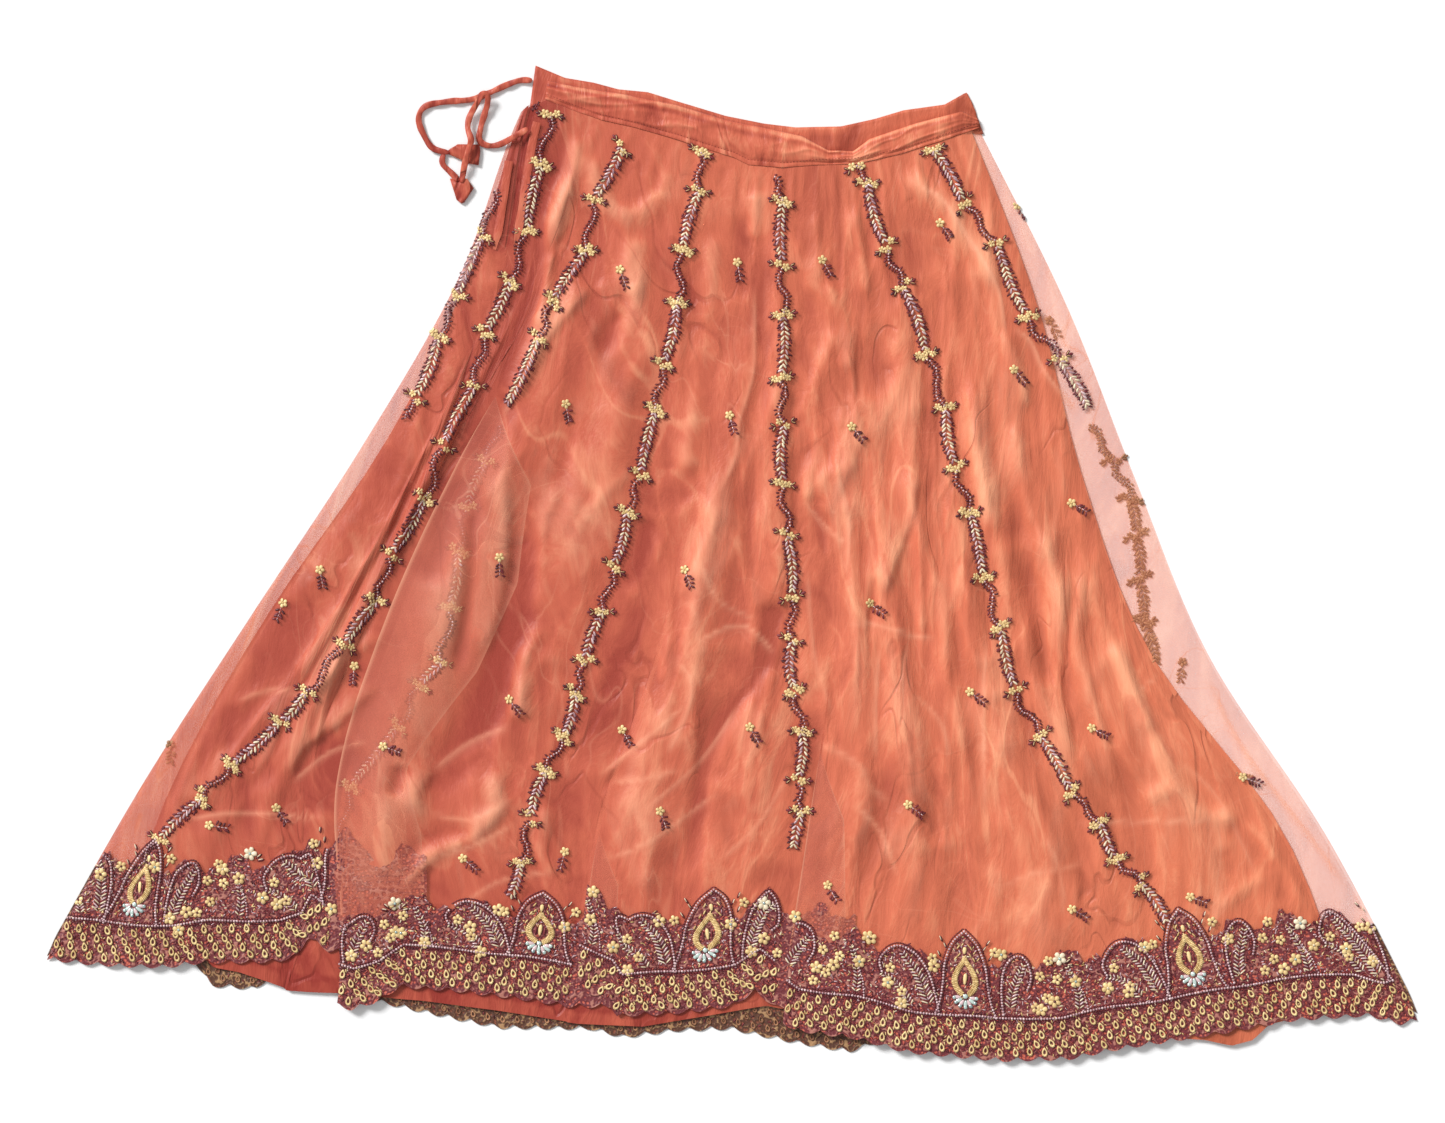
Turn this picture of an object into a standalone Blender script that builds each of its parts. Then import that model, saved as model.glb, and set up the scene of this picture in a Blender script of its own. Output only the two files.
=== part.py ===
"""A lehenga skirt laid flat: satin lining, embroidered net over it, waistband, placket and drawstring.

X runs across the skirt, Y from the hem up to the waist, Z up from the surface that it lies on. The
tables are in millimetres; the objects are in metres. The front is a fan of columns from the waist
seam to the hem, and the lining, the net and the border share those columns, each a little higher.
"""

import math

import bmesh
import bpy
from mathutils import Vector
from mathutils.bvhtree import BVHTree

MM = 0.001

# Walls and gaps
NET_WALL = 1.2
LINING_WALL = 1.2
BORDER_WALL = 1.6
BAND_WALL = 2.0
GAP = 0.3
BORDER_CLEARANCE = 0.9
STRIP_CLEARANCE = 0.6

# Heights of the layers above the surface
BACK_LINING_Z = BORDER_WALL + GAP
FRONT_LINING_Z = BACK_LINING_Z + LINING_WALL + GAP
FRONT_NET_Z = FRONT_LINING_Z + LINING_WALL + BORDER_CLEARANCE
SIDE_NET_Z = BAND_WALL + GAP
FRONT_BAND_Z = BAND_WALL + GAP

# Waistband, border and embroidery
BAND_HEIGHT = 43.0
BORDER_HEIGHT = 128.0
SCALLOP_PITCH = 23.0
SCALLOP_DEPTH = 5.0
VINE_WIDTH = 14.0
VINE_WALL = 1.4
VINE_STEP = 36.0
PLACKET_WIDTH = 8.0
PLACKET_WALL = 1.4
SLIT_LENGTH = 150.0

# Drawstring
STRING_DIAMETER = 5.0
TAIL_DIAMETER = 4.0
LEAF_WALL = 3.0

# Rows of the fan down the skirt, above the border and through it
SKIRT_ROWS = 19
BORDER_ROWS = 2

# Lines down the front: side edges, slit and the edges of the net's three folded flaps.
# name, x at the waist, x at the hem, sideways bow at 20, 40, 60 and 80 % of the way, columns to the next
GUIDES = (
    ("net_left", -222, -721, 33, 31, 15, 1, 2),
    ("lining_left", -219, -652, 28, 26, -8, -21, 2),
    ("slit_left", -213, -603, 41, 40, 17, -33, 1),
    ("slit_right", -208, -597, 41, 40, 17, -33, 5),
    ("flap_a_under", -122, -424, -8, -49, -69, -61, 1),
    ("flap_a", -115, -415, -8, -49, -69, -61, 5),
    ("flap_b_under", -1, -171, 17, 24, 18, -9, 1),
    ("flap_b", 4, -165, 17, 24, 18, -9, 5),
    ("flap_c_under", 77, 45, 11, 26, 37, 19, 1),
    ("flap_c", 83, 53, 11, 26, 37, 19, 9),
    ("lining_right", 251, 650, -10, -42, -51, 6, 2),
    ("net_right", 259, 720, 0, -19, -34, -5, 0),
)

# Folds of the satin that lift both layers of the front.
# x at the hem, half width at the hem, height, and the share of the way down where it begins, is
# full and ends
FOLDS = (
    (-575, 48, 6.0, 0.10, 0.55, 1.10),
    (-500, 46, 9.0, 0.02, 0.45, 1.15),
    (-365, 55, 10.0, 0.05, 0.50, 1.20),
    (-270, 52, 7.5, 0.00, 0.35, 1.10),
    (-120, 55, 9.5, 0.10, 0.60, 1.20),
    (-30, 46, 7.0, 0.00, 0.25, 0.95),
    (105, 62, 8.5, 0.04, 0.50, 1.15),
    (185, 56, 10.5, 0.15, 0.65, 1.15),
    (275, 56, 6.5, 0.00, 0.30, 1.00),
    (350, 58, 9.5, 0.08, 0.55, 1.15),
    (440, 58, 8.0, 0.02, 0.40, 1.10),
    (530, 60, 11.0, 0.12, 0.60, 1.15),
)

# Flaps where the net is folded over itself: thicker at the folded edge.
# guide, share of the way down where it begins, width at the hem, height of the folded edge
FLAPS = (
    ("flap_a", 0.34, 120, 2.4),
    ("flap_b", 0.82, 80, 2.2),
    ("flap_c", 0.70, 110, 2.4),
)

# Seam between the waistband and the front, then the front's hem: x, y
FRONT_SEAM = (
    (-222, 476), (-213, 481), (-197, 488), (-166, 476), (-137, 466), (-101, 458), (-60, 446),
    (-29, 436), (1, 427), (17, 419), (53, 416), (89, 419), (130, 420), (175, 430), (216, 443),
    (259, 458),
)
FRONT_HEM = (
    (-721, -412), (-666, -418), (-596, -420), (-559, -415), (-480, -414), (-457, -408),
    (-446, -388), (-424, -403), (-415, -460), (-400, -464), (-374, -456), (-349, -440),
    (-285, -445), (-221, -453), (-171, -461), (-165, -440), (-131, -455), (-121, -471),
    (-60, -468), (-2, -461), (24, -445), (45, -462), (53, -478), (66, -486), (123, -493),
    (184, -509), (283, -518), (353, -516), (408, -505), (494, -492), (584, -476), (623, -473),
    (670, -471), (702, -480), (720, -476),
)
# Hem of the lining, which shows where the net's hem is drawn up: x, y
LINING_HEM = (
    (-652, -404), (-560, -411), (-541, -424), (-512, -429), (-448, -448), (-320, -459),
    (-243, -469), (-156, -483), (-92, -486), (-28, -475), (36, -464), (100, -478), (250, -498),
    (400, -494), (494, -500), (518, -506), (541, -500), (562, -484), (650, -462),
)
# Hem of the back's net, seen from its wrong side below the front: x, y
BACK_HEM = (
    (-718, -408), (-620, -412), (-566, -414), (-548, -440), (-502, -443), (-484, -430),
    (-430, -440), (-384, -454), (-345, -463), (-285, -476), (-243, -484), (-150, -485),
    (-115, -494), (-60, -487), (-2, -485), (24, -491), (69, -500), (123, -509), (150, -500),
    (230, -508), (330, -510), (450, -492), (600, -468), (717, -468),
)
# Top edges of the back and front runs of the waistband: x, y
BACK_BAND_TOP = (
    (-207, 524), (-176, 511), (-146, 506), (-120, 499), (-89, 496), (-60, 487), (-7, 471),
    (33, 463), (66, 459), (114, 460), (150, 468), (180, 477), (223, 483), (246, 496), (259, 472),
)
FRONT_BAND_TOP = (
    (-194, 508), (-166, 502), (-120, 495), (-60, 483), (-7, 467), (33, 459), (73, 450),
    (101, 435), (127, 434), (144, 447), (191, 463), (241, 476), (258, 468),
)
# Wrinkles across the front run of the waistband: x, half width, height
BAND_WRINKLES = (
    (-150, 18, 2.0), (-112, 16, 1.2), (-74, 20, 2.4), (-30, 16, 1.5), (12, 22, 2.6),
    (62, 24, 3.2), (112, 26, 4.2), (160, 20, 2.4), (205, 20, 1.8),
)

# Routes of the embroidered vines, waist to border: x, y
VINES = {
    "vine_1": ((-250, 395), (-260, 345), (-275, 315), (-295, 275), (-313, 215), (-345, 155)),
    "vine_2": (
        (-190, 472), (-198, 420), (-213, 352), (-260, 240), (-272, 185), (-325, 70), (-375, -40),
        (-445, -135), (-525, -210), (-600, -290), (-620, -315),
    ),
    "vine_3": ((-116, 440), (-145, 380), (-155, 330), (-190, 275), (-222, 205), (-238, 172)),
    "vine_4": (
        (-34, 425), (-37, 390), (-58, 275), (-80, 160), (-110, 55), (-135, -50), (-165, -135),
        (-195, -215), (-220, -310), (-226, -326),
    ),
    "vine_5": (
        (47, 408), (52, 380), (52, 300), (54, 150), (56, 30), (62, -80), (72, -175), (70, -255),
        (63, -300),
    ),
    "vine_6": (
        (132, 408), (142, 398), (180, 290), (225, 165), (250, 55), (280, -65), (325, -180),
        (385, -270), (430, -335), (450, -362),
    ),
    "vine_7": ((210, 432), (245, 380), (275, 335), (310, 260), (340, 215), (352, 188)),
}

# Routes of the drawstring's ends on the surface: x, y, height of its middle
STRING_ROUTES = {
    "tie_upper": (
        (-210, 508, 2.6), (-222, 508.5, 2.6), (-236, 504, 2.6), (-256, 495, 2.6), (-275, 488, 2.6),
        (-299, 486, 2.6), (-323, 481, 2.6), (-330, 468, 2.6), (-325, 452, 2.6), (-315, 437, 2.6),
        (-300.6, 432.6, 2.6),
    ),
    "tie_lower": (
        (-214, 457, 10.4), (-222, 452, 10.4), (-232, 446.5, 9.6), (-244, 441, 3.4), (-257, 439.5, 2.6),
        (-266, 445, 3.2), (-265, 457, 3.2), (-261, 471, 3.4), (-257, 484, 7.0), (-257, 493, 10.2),
        (-263, 493, 9.6), (-268, 484, 7.0), (-276, 470, 4.6), (-278, 457, 6.6), (-274, 445, 9.4),
        (-277, 435, 8.2), (-281, 420, 7.0), (-283.5, 406.1, 2.6),
    ),
    "tie_tail": ((-305.5, 427, 2.1), (-304, 420, 2.1), (-297, 413.5, 2.1), (-288.6, 407.0, 2.1)),
}
STRING_DIAMETERS = {
    "tie_upper": STRING_DIAMETER,
    "tie_lower": STRING_DIAMETER,
    "tie_tail": TAIL_DIAMETER,
}
# Outlines of the leaf-shaped cloth ends: x, y
LEAVES = {
    "leaf_1": ((-300, 434), (-289, 441), (-266, 441), (-265, 434), (-267, 419), (-277, 421), (-299, 431)),
    "leaf_2": ((-297, 405), (-290, 383), (-285, 379), (-282, 380), (-272, 395), (-279, 405)),
}

# Colours: red, green, blue; roughness
SATIN = ((0.70, 0.16, 0.07), 0.40)
NET = ((0.75, 0.24, 0.14), 0.70)
EMBROIDERY = ((0.16, 0.02, 0.03), 0.55)
VINE_BEADS = ((0.45, 0.20, 0.20), 0.45)


def clear_scene():
    """Remove whatever the scene holds at the start."""
    for item in list(bpy.data.objects):
        bpy.data.objects.remove(item, do_unlink=True)


def material(name, finish):
    """A plain material of a given colour and roughness."""
    colour, roughness = finish
    made = bpy.data.materials.new(name)
    made.use_nodes = True
    shader = made.node_tree.nodes["Principled BSDF"]
    shader.inputs["Base Color"].default_value = (*colour, 1.0)
    shader.inputs["Roughness"].default_value = roughness
    shader.inputs["Metallic"].default_value = 0.0
    return made


def profile(table, x):
    """Height of a line through a table's points, at x."""
    if x <= table[0][0]:
        return table[0][1]
    for (x0, y0), (x1, y1) in zip(table, table[1:]):
        if x <= x1:
            return y0 + (y1 - y0) * (x - x0) / (x1 - x0)
    return table[-1][1]


def smoothstep(low, high, value):
    """0 below low, 1 above high, and a soft rise between them."""
    share = min(max((value - low) / (high - low), 0.0), 1.0)
    return share * share * (3.0 - 2.0 * share)


def bump(distance, half_width):
    """A rounded ridge, 1 on its middle line and 0 from half a width away."""
    share = min(abs(distance) / half_width, 1.0)
    return 0.5 + 0.5 * math.cos(math.pi * share)


def catmull(values, share):
    """Point of a smooth curve through evenly spaced values, at a share of its length."""
    last = len(values) - 1
    place = min(max(share, 0.0), 1.0) * last
    index = min(int(place), last - 1)
    part = place - index
    before = values[max(index - 1, 0)]
    start, end = values[index], values[index + 1]
    after = values[min(index + 2, last)]
    return 0.5 * (
        2.0 * start
        + (end - before) * part
        + (2.0 * before - 5.0 * start + 4.0 * end - after) * part**2
        + (3.0 * start - before - 3.0 * end + after) * part**3
    )


def smooth_route(points, step):
    """Evenly spaced points, about a step apart, on a smooth curve through a route's points."""
    route = [Vector(point) for point in points]
    samples = 12 * (len(route) - 1)
    fine = [catmull(route, index / samples) for index in range(samples + 1)]
    lengths = [0.0]
    for start, end in zip(fine, fine[1:]):
        lengths.append(lengths[-1] + (end - start).length)
    count = max(2, round(lengths[-1] / step))
    even, index = [], 0
    for number in range(count + 1):
        want = lengths[-1] * number / count
        while index < samples - 1 and lengths[index + 1] < want:
            index += 1
        part = (want - lengths[index]) / (lengths[index + 1] - lengths[index])
        even.append(fine[index].lerp(fine[index + 1], part))
    return even


def scallop(x):
    """How far the hem's embroidered edge stands out at x."""
    return SCALLOP_DEPTH * abs(math.sin(math.pi * x / SCALLOP_PITCH))


class Column:
    """One line down the front, from the waist seam to the hem."""

    def __init__(self, top_x, hem_x, bows, place):
        self.top_x = top_x
        self.hem_x = hem_x
        self.bows = bows
        self.place = place
        self.top_y = profile(FRONT_SEAM, top_x) - GAP
        self.hem_y = profile(FRONT_HEM, hem_x)
        self.border_share = 1.0 - BORDER_HEIGHT / (self.top_y - self.hem_y)
        self.lining_share = (self.top_y - profile(LINING_HEM, hem_x)) / (self.top_y - self.hem_y)

    def at(self, share):
        """The plan point at a share of the way down."""
        bow = catmull((0.0, *self.bows, 0.0), share)
        x = self.top_x + share * (self.hem_x - self.top_x) + bow
        return x, self.top_y + share * (self.hem_y - self.top_y)


def fan_columns():
    """All columns of the front, left to right, and the number of each guide's column."""
    columns, numbers = [], {}
    for row, following in zip(GUIDES, (*GUIDES[1:], None)):
        name, top_x, hem_x, *bows, count = row
        numbers[name] = len(columns)
        columns.append(Column(top_x, hem_x, bows, len(columns)))
        for step in range(1, count):
            part = step / count
            mixed = [a + (b - a) * part for a, b in zip(row[1:7], following[1:7])]
            columns.append(Column(mixed[0], mixed[1], mixed[2:], len(columns)))
    return columns, numbers


COLUMNS, NUMBER = fan_columns()


def fold_height(column, share):
    """How far the satin's folds lift the front at a point of the fan."""
    inner = smoothstep(GUIDES[1][2], GUIDES[1][2] + 60.0, column.hem_x)
    inner *= 1.0 - smoothstep(GUIDES[-2][2] - 60.0, GUIDES[-2][2], column.hem_x)
    height = 0.0
    for hem_x, half_width, full, begin, whole, end in FOLDS:
        along = smoothstep(begin, whole, share) * (1.0 - 0.75 * smoothstep(whole, end, share))
        height += full * along * bump(column.hem_x - hem_x, half_width)
    flatter = 1.0 - 0.45 * smoothstep(0.80, 0.92, share)
    return height * inner * flatter


def flap_height(column, share):
    """How much thicker the net is where a flap of it is folded over."""
    height = 0.0
    for guide, begin, width, full in FLAPS:
        edge = COLUMNS[NUMBER[guide]]
        inward = column.hem_x - edge.hem_x
        if column.place < edge.place or inward > width:
            continue
        height += full * smoothstep(begin, begin + 0.08, share) * (1.0 - inward / width)
    return height


def net_level(column, share):
    """Height of the underside of the front's net."""
    outside = column.place < NUMBER["lining_left"] or column.place > NUMBER["lining_right"]
    if outside:
        return SIDE_NET_Z
    return FRONT_NET_Z + fold_height(column, share)


def new_object(name, mesh, look):
    """An object of a mesh with a material, in the scene."""
    made = bpy.data.objects.new(name, mesh)
    bpy.context.scene.collection.objects.link(made)
    made.data.materials.append(look)
    return made


def close_and_name(name, bm, look):
    """Turn a finished bmesh in millimetres into an object in metres."""
    bmesh.ops.recalc_face_normals(bm, faces=bm.faces)
    bmesh.ops.scale(bm, vec=(MM, MM, MM), verts=bm.verts)
    mesh = bpy.data.meshes.new(name)
    bm.to_mesh(mesh)
    bm.free()
    return new_object(name, mesh, look)


def grid_wall(name, under, over, look, missing=()):
    """A wall between two grids of points, rows of the same length, without the missing cells."""
    rows, across = len(under) - 1, len(under[0]) - 1
    bm = bmesh.new()
    bmesh.ops.create_grid(bm, x_segments=across, y_segments=rows, size=1.0)
    place = bm.verts.layers.int.new("place")
    for vert in bm.verts:
        i = round((vert.co.x + 1.0) / 2.0 * across)
        j = round((vert.co.y + 1.0) / 2.0 * rows)
        vert[place] = j * (across + 1) + i
    gone = []
    for face in bm.faces:
        corner = min(vert[place] for vert in face.verts)
        if (corner // (across + 1), corner % (across + 1)) in missing:
            gone.append(face)
    bmesh.ops.delete(bm, geom=gone, context="FACES")
    grown = bmesh.ops.extrude_face_region(bm, geom=list(bm.faces))["geom"]
    lifted = {item for item in grown if isinstance(item, bmesh.types.BMVert)}
    for vert in bm.verts:
        source = over if vert in lifted else under
        vert.co = source[vert[place] // (across + 1)][vert[place] % (across + 1)]
    return close_and_name(name, bm, look)


def flat_panel(name, outline, low, high, look):
    """A flat panel of an outline's shape between two heights."""
    bm = bmesh.new()
    face = bm.faces.new([bm.verts.new((x, y, low)) for x, y in outline])
    grown = bmesh.ops.extrude_face_region(bm, geom=[face])["geom"]
    lifted = [item for item in grown if isinstance(item, bmesh.types.BMVert)]
    bmesh.ops.translate(bm, vec=(0.0, 0.0, high - low), verts=lifted)
    return close_and_name(name, bm, look)


def skirt_shares(column):
    """Shares of the way down, from the waist seam to the top of the border."""
    return [column.border_share * row / SKIRT_ROWS for row in range(SKIRT_ROWS + 1)]


def slit_cells(first):
    """Cells of a front wall left open for the placket's slit, in a grid that begins at a column."""
    column = COLUMNS[NUMBER["slit_left"]]
    length = column.top_y - column.hem_y
    open_rows = round(SLIT_LENGTH / length / column.border_share * SKIRT_ROWS)
    return {(row, NUMBER["slit_left"] - first) for row in range(open_rows)}


def net_front(look):
    """The front's net, from the waist seam to the border, with its flaps and the slit."""
    under, over = [], []
    for row in range(SKIRT_ROWS + 1):
        low, high = [], []
        for column in COLUMNS:
            share = skirt_shares(column)[row]
            x, y = column.at(share)
            if row == SKIRT_ROWS:
                y += GAP
            z = net_level(column, share)
            low.append((x, y, z))
            high.append((x, y, z + NET_WALL + flap_height(column, share)))
        under.append(low)
        over.append(high)
    return grid_wall("net_front", under, over, look, slit_cells(0))


def lining_front(look):
    """The front's satin, on the same columns as the net between its own side edges."""
    first, last = NUMBER["lining_left"], NUMBER["lining_right"]
    under, over = [], []
    for row in range(SKIRT_ROWS + BORDER_ROWS + 1):
        low, high = [], []
        for column in COLUMNS[first : last + 1]:
            if row <= SKIRT_ROWS:
                share = skirt_shares(column)[row]
            else:
                part = (row - SKIRT_ROWS) / BORDER_ROWS
                share = column.border_share + (column.lining_share - column.border_share) * part
            x, y = column.at(share)
            z = FRONT_LINING_Z + fold_height(column, share)
            low.append((x, y, z))
            high.append((x, y, z + LINING_WALL))
        under.append(low)
        over.append(high)
    return grid_wall("lining_front", under, over, look, slit_cells(first))


def border_columns():
    """Finer columns for the scalloped border: pairs of fan columns and the part between them."""
    fine = []
    for left, right in zip(COLUMNS, COLUMNS[1:]):
        count = max(1, round((right.hem_x - left.hem_x) * 3.0 / SCALLOP_PITCH))
        fine += [(left, right, step / count) for step in range(count)]
    return [*fine, (COLUMNS[-2], COLUMNS[-1], 1.0)]


def border_front(look):
    """The front's border, on the net's columns, with a scalloped hem."""
    under, over = [], []
    for row in range(BORDER_ROWS + 1):
        low, high = [], []
        for left, right, part in border_columns():
            ends = []
            for column in (left, right):
                down = row / BORDER_ROWS
                share = column.border_share + (1.0 - column.border_share) * down
                x, y = column.at(share)
                z = net_level(column, share)
                ends.append(Vector((x, y, z, flap_height(column, share))))
            x, y, z, raised = ends[0].lerp(ends[1], part)
            if row == BORDER_ROWS:
                y -= scallop(x)
            low.append((x, y, z))
            high.append((x, y, z + BORDER_WALL + raised))
        under.append(low)
        over.append(high)
    return grid_wall("border_front", under, over, look)


def side_line(name, high, low, count):
    """Plan points on a guide between two heights, from the higher down."""
    column = COLUMNS[NUMBER[name]]
    shares = [(column.top_y - y) / (column.top_y - column.hem_y) for y in (high, low)]
    steps = [shares[0] + (shares[1] - shares[0]) * step / count for step in range(count + 1)]
    return [column.at(share) for share in steps]


def back_seam(x):
    """Where the back's panels begin at x: below both runs of the waistband."""
    return min(profile(BACK_BAND_TOP[:-1], x) - BAND_HEIGHT, profile(FRONT_SEAM, x)) - GAP


def back_panel(name, left, right, hem, z, wall, border, look):
    """A flat back panel between two side guides, from the band's seam to a line above its hem."""
    top = sorted({x for x, _ in (*BACK_BAND_TOP, *FRONT_SEAM) if -200 < x < 240})
    seam = [(x, back_seam(x)) for x in top]
    left_low = profile(hem, COLUMNS[NUMBER[left]].hem_x) + border
    right_low = profile(hem, COLUMNS[NUMBER[right]].hem_x) + border
    left_side = side_line(left, 462, left_low, 12)
    right_side = side_line(right, 448, right_low, 12)
    edge = [(x, y + border) for x, y in hem if left_side[-1][0] + 8 < x < right_side[-1][0] - 8]
    outline = [*reversed(left_side), *seam, *right_side, *reversed(edge)]
    return flat_panel(name, outline, z, z + wall, look)


def border_back(look):
    """The back's border, flat on the surface, with the same scalloped hem."""
    left_x, right_x = BACK_HEM[0][0], BACK_HEM[-1][0]
    count = round((right_x - left_x) * 3.0 / SCALLOP_PITCH)
    xs = [left_x + (right_x - left_x) * step / count for step in range(count + 1)]
    hem = [(x, profile(BACK_HEM, x) - scallop(x)) for x in xs]
    high = BORDER_HEIGHT - GAP
    left = side_line("net_left", BACK_HEM[0][1] + high, BACK_HEM[0][1] + 8, 3)
    right = side_line("net_right", BACK_HEM[-1][1] + high, BACK_HEM[-1][1] + 8, 3)
    inner = [(x, y + high) for x, y in BACK_HEM if left[0][0] + 8 < x < right[0][0] - 8]
    outline = [*hem, *reversed(right), *reversed(inner), *left]
    return flat_panel("border_back", outline, 0.0, BORDER_WALL, look)


def waistband_back(look):
    """The back run of the waistband, flat on the surface."""
    lower = [(x, y - BAND_HEIGHT) for x, y in BACK_BAND_TOP[1:-1]]
    outline = [*BACK_BAND_TOP, (260, 458), *reversed(lower), (-213, 484)]
    return flat_panel("waistband_back", outline, 0.0, BAND_WALL, look)


def waistband_front(look):
    """The front run of the waistband, wrinkled by its drawstring, over the back run."""
    rows = 3
    (left_top, _), (right_top, _) = FRONT_BAND_TOP[0], FRONT_BAND_TOP[-1]
    left_seam, right_seam = -197.0, FRONT_SEAM[-1][0]
    seam_xs = [left_seam, *(column.top_x for column in COLUMNS if column.top_x > left_seam + 3.0)]
    under, over = [], []
    for row in range(rows + 1):
        low, high = [], []
        for seam_x in seam_xs:
            part = (seam_x - left_seam) / (right_seam - left_seam)
            top_x = left_top + (right_top - left_top) * part
            down = row / rows
            x = top_x + (seam_x - top_x) * down
            top_y, seam_y = profile(FRONT_BAND_TOP, top_x), profile(FRONT_SEAM, seam_x)
            y = top_y + (seam_y - top_y) * down
            wave = sum(full * bump(x - middle, half) for middle, half, full in BAND_WRINKLES)
            z = FRONT_BAND_Z + wave * (0.35 + 0.65 * math.sin(math.pi * min(down + 0.25, 1.0)))
            low.append((x, y, z))
            high.append((x, y, z + BAND_WALL))
        under.append(low)
        over.append(high)
    return grid_wall("waistband_front", under, over, look)


class Drape:
    """The top of pieces that are already in place, for what lies on them."""

    def __init__(self, pieces):
        self.trees = []
        for piece in pieces:
            bm = bmesh.new()
            bm.from_mesh(piece.data)
            self.trees.append(BVHTree.FromBMesh(bm))
            bm.free()

    def top(self, x, y):
        """Height of the highest piece at a plan point, or 0."""
        best = 0.0
        for tree in self.trees:
            hit = tree.ray_cast(Vector((x * MM, y * MM, 1.0)), Vector((0.0, 0.0, -1.0)))[0]
            if hit is not None:
                best = max(best, hit.z / MM)
        return best

    def lack(self, first, second, first_z, second_z):
        """How far a strip between two rows of three points must rise to clear what is under it."""
        worst, samples = 0.0, 12
        for along in range(samples + 1):
            row = [a.lerp(b, along / samples) for a, b in zip(first, second)]
            heights = [a + (b - a) * along / samples for a, b in zip(first_z, second_z)]
            for half in range(2):
                for across in range(samples + 1):
                    part = across / samples
                    place = row[half].lerp(row[half + 1], part)
                    level = heights[half] + (heights[half + 1] - heights[half]) * part
                    worst = max(worst, self.top(place.x, place.y) + STRIP_CLEARANCE - level)
        return worst


def laid_strip(name, points, width, wall, step, drape, look):
    """A raised strip along a route, laid on the pieces under it."""
    route = smooth_route([(x, y, 0.0) for x, y in points], step)
    rows = []
    for index, middle in enumerate(route):
        ahead = route[min(index + 1, len(route) - 1)]
        behind = route[max(index - 1, 0)]
        along = (ahead - behind).normalized()
        side = Vector((along.y, -along.x, 0.0)) * (width / 2.0)
        rows.append((middle - side, middle, middle + side))
    heights = [[drape.top(place.x, place.y) + STRIP_CLEARANCE for place in row] for row in rows]
    heights = [[0.5 * (height + max(row)) for height in row] for row in heights]
    for _ in range(3):
        for index in range(len(rows) - 1):
            lack = drape.lack(*rows[index : index + 2], *heights[index : index + 2])
            if lack > 0.0:
                for near in (index, index + 1):
                    heights[near] = [height + lack for height in heights[near]]
    shares = (0.6, 1.0, 0.6)
    under = [[(p.x, p.y, z) for p, z in zip(row, level)] for row, level in zip(rows, heights)]
    over = [[(x, y, z + wall * share) for (x, y, z), share in zip(row, shares)] for row in under]
    return grid_wall(name, under, over, look)


def placket_route(guide, aside, high, low):
    """Route of a placket's strip beside the slit."""
    return [(x + aside, y) for x, y in side_line(guide, high, low, 4)]


def string(name, route, diameter, look):
    """A free end of the drawstring: a round cord along its route on the surface."""
    curve = bpy.data.curves.new(name, "CURVE")
    curve.dimensions = "3D"
    curve.bevel_depth = diameter / 2.0 * MM
    curve.bevel_resolution = 2
    curve.use_fill_caps = True
    spline = curve.splines.new("POLY")
    places = smooth_route(route, 2.2 * diameter)
    spline.points.add(len(places) - 1)
    for point, place in zip(spline.points, places):
        point.co = (*(place * MM), 1.0)
    made = bpy.data.objects.new(name, curve)
    bpy.context.scene.collection.objects.link(made)
    curve.materials.append(look)
    return made


def build():
    """Make every piece of the skirt."""
    clear_scene()
    satin = material("satin", SATIN)
    net = material("net", NET)
    embroidery = material("embroidery", EMBROIDERY)
    beads = material("vine_beads", VINE_BEADS)

    back_panel("net_back", "net_left", "net_right", BACK_HEM, 0.0, NET_WALL, BORDER_HEIGHT, net)
    border_back(embroidery)
    back_panel(
        "lining_back", "lining_left", "lining_right", LINING_HEM, BACK_LINING_Z, LINING_WALL, 3.0, satin
    )
    lining_front(satin)
    front = [net_front(net), border_front(embroidery)]
    waistband_back(satin)
    waistband_front(satin)

    drape = Drape(front)
    for name, route in VINES.items():
        laid_strip(name, route, VINE_WIDTH, VINE_WALL, VINE_STEP, drape, beads)
    right_edge = placket_route("slit_right", 5.0, 470, 362)
    laid_strip("placket_front", right_edge, PLACKET_WIDTH, PLACKET_WALL, VINE_STEP, drape, satin)
    left_edge = placket_route("slit_left", -6.0, 428, 335)
    laid_strip("placket_back", left_edge, PLACKET_WIDTH, PLACKET_WALL, VINE_STEP, drape, satin)

    for name, route in STRING_ROUTES.items():
        string(name, route, STRING_DIAMETERS[name], satin)
    for name, outline in LEAVES.items():
        flat_panel(name, outline, 0.0, LEAF_WALL, satin)


build()
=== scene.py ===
"""Looks of a lehenga skirt laid flat: satin lining, embroidered net, border, waistband and drawstring.

Plan sizes in the tables are millimetres: X across the skirt, Y from the hem up to the waist. Heights
are above the surface that the skirt lies on. Meshes are in metres.
"""

import logging
import math
from collections.abc import Callable, Iterable, Iterator, Sequence
from dataclasses import dataclass, field
from enum import Enum
from functools import cache

import bmesh
import bpy
import numpy as np
from mathutils import Matrix, Vector
from mathutils.bvhtree import BVHTree


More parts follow.
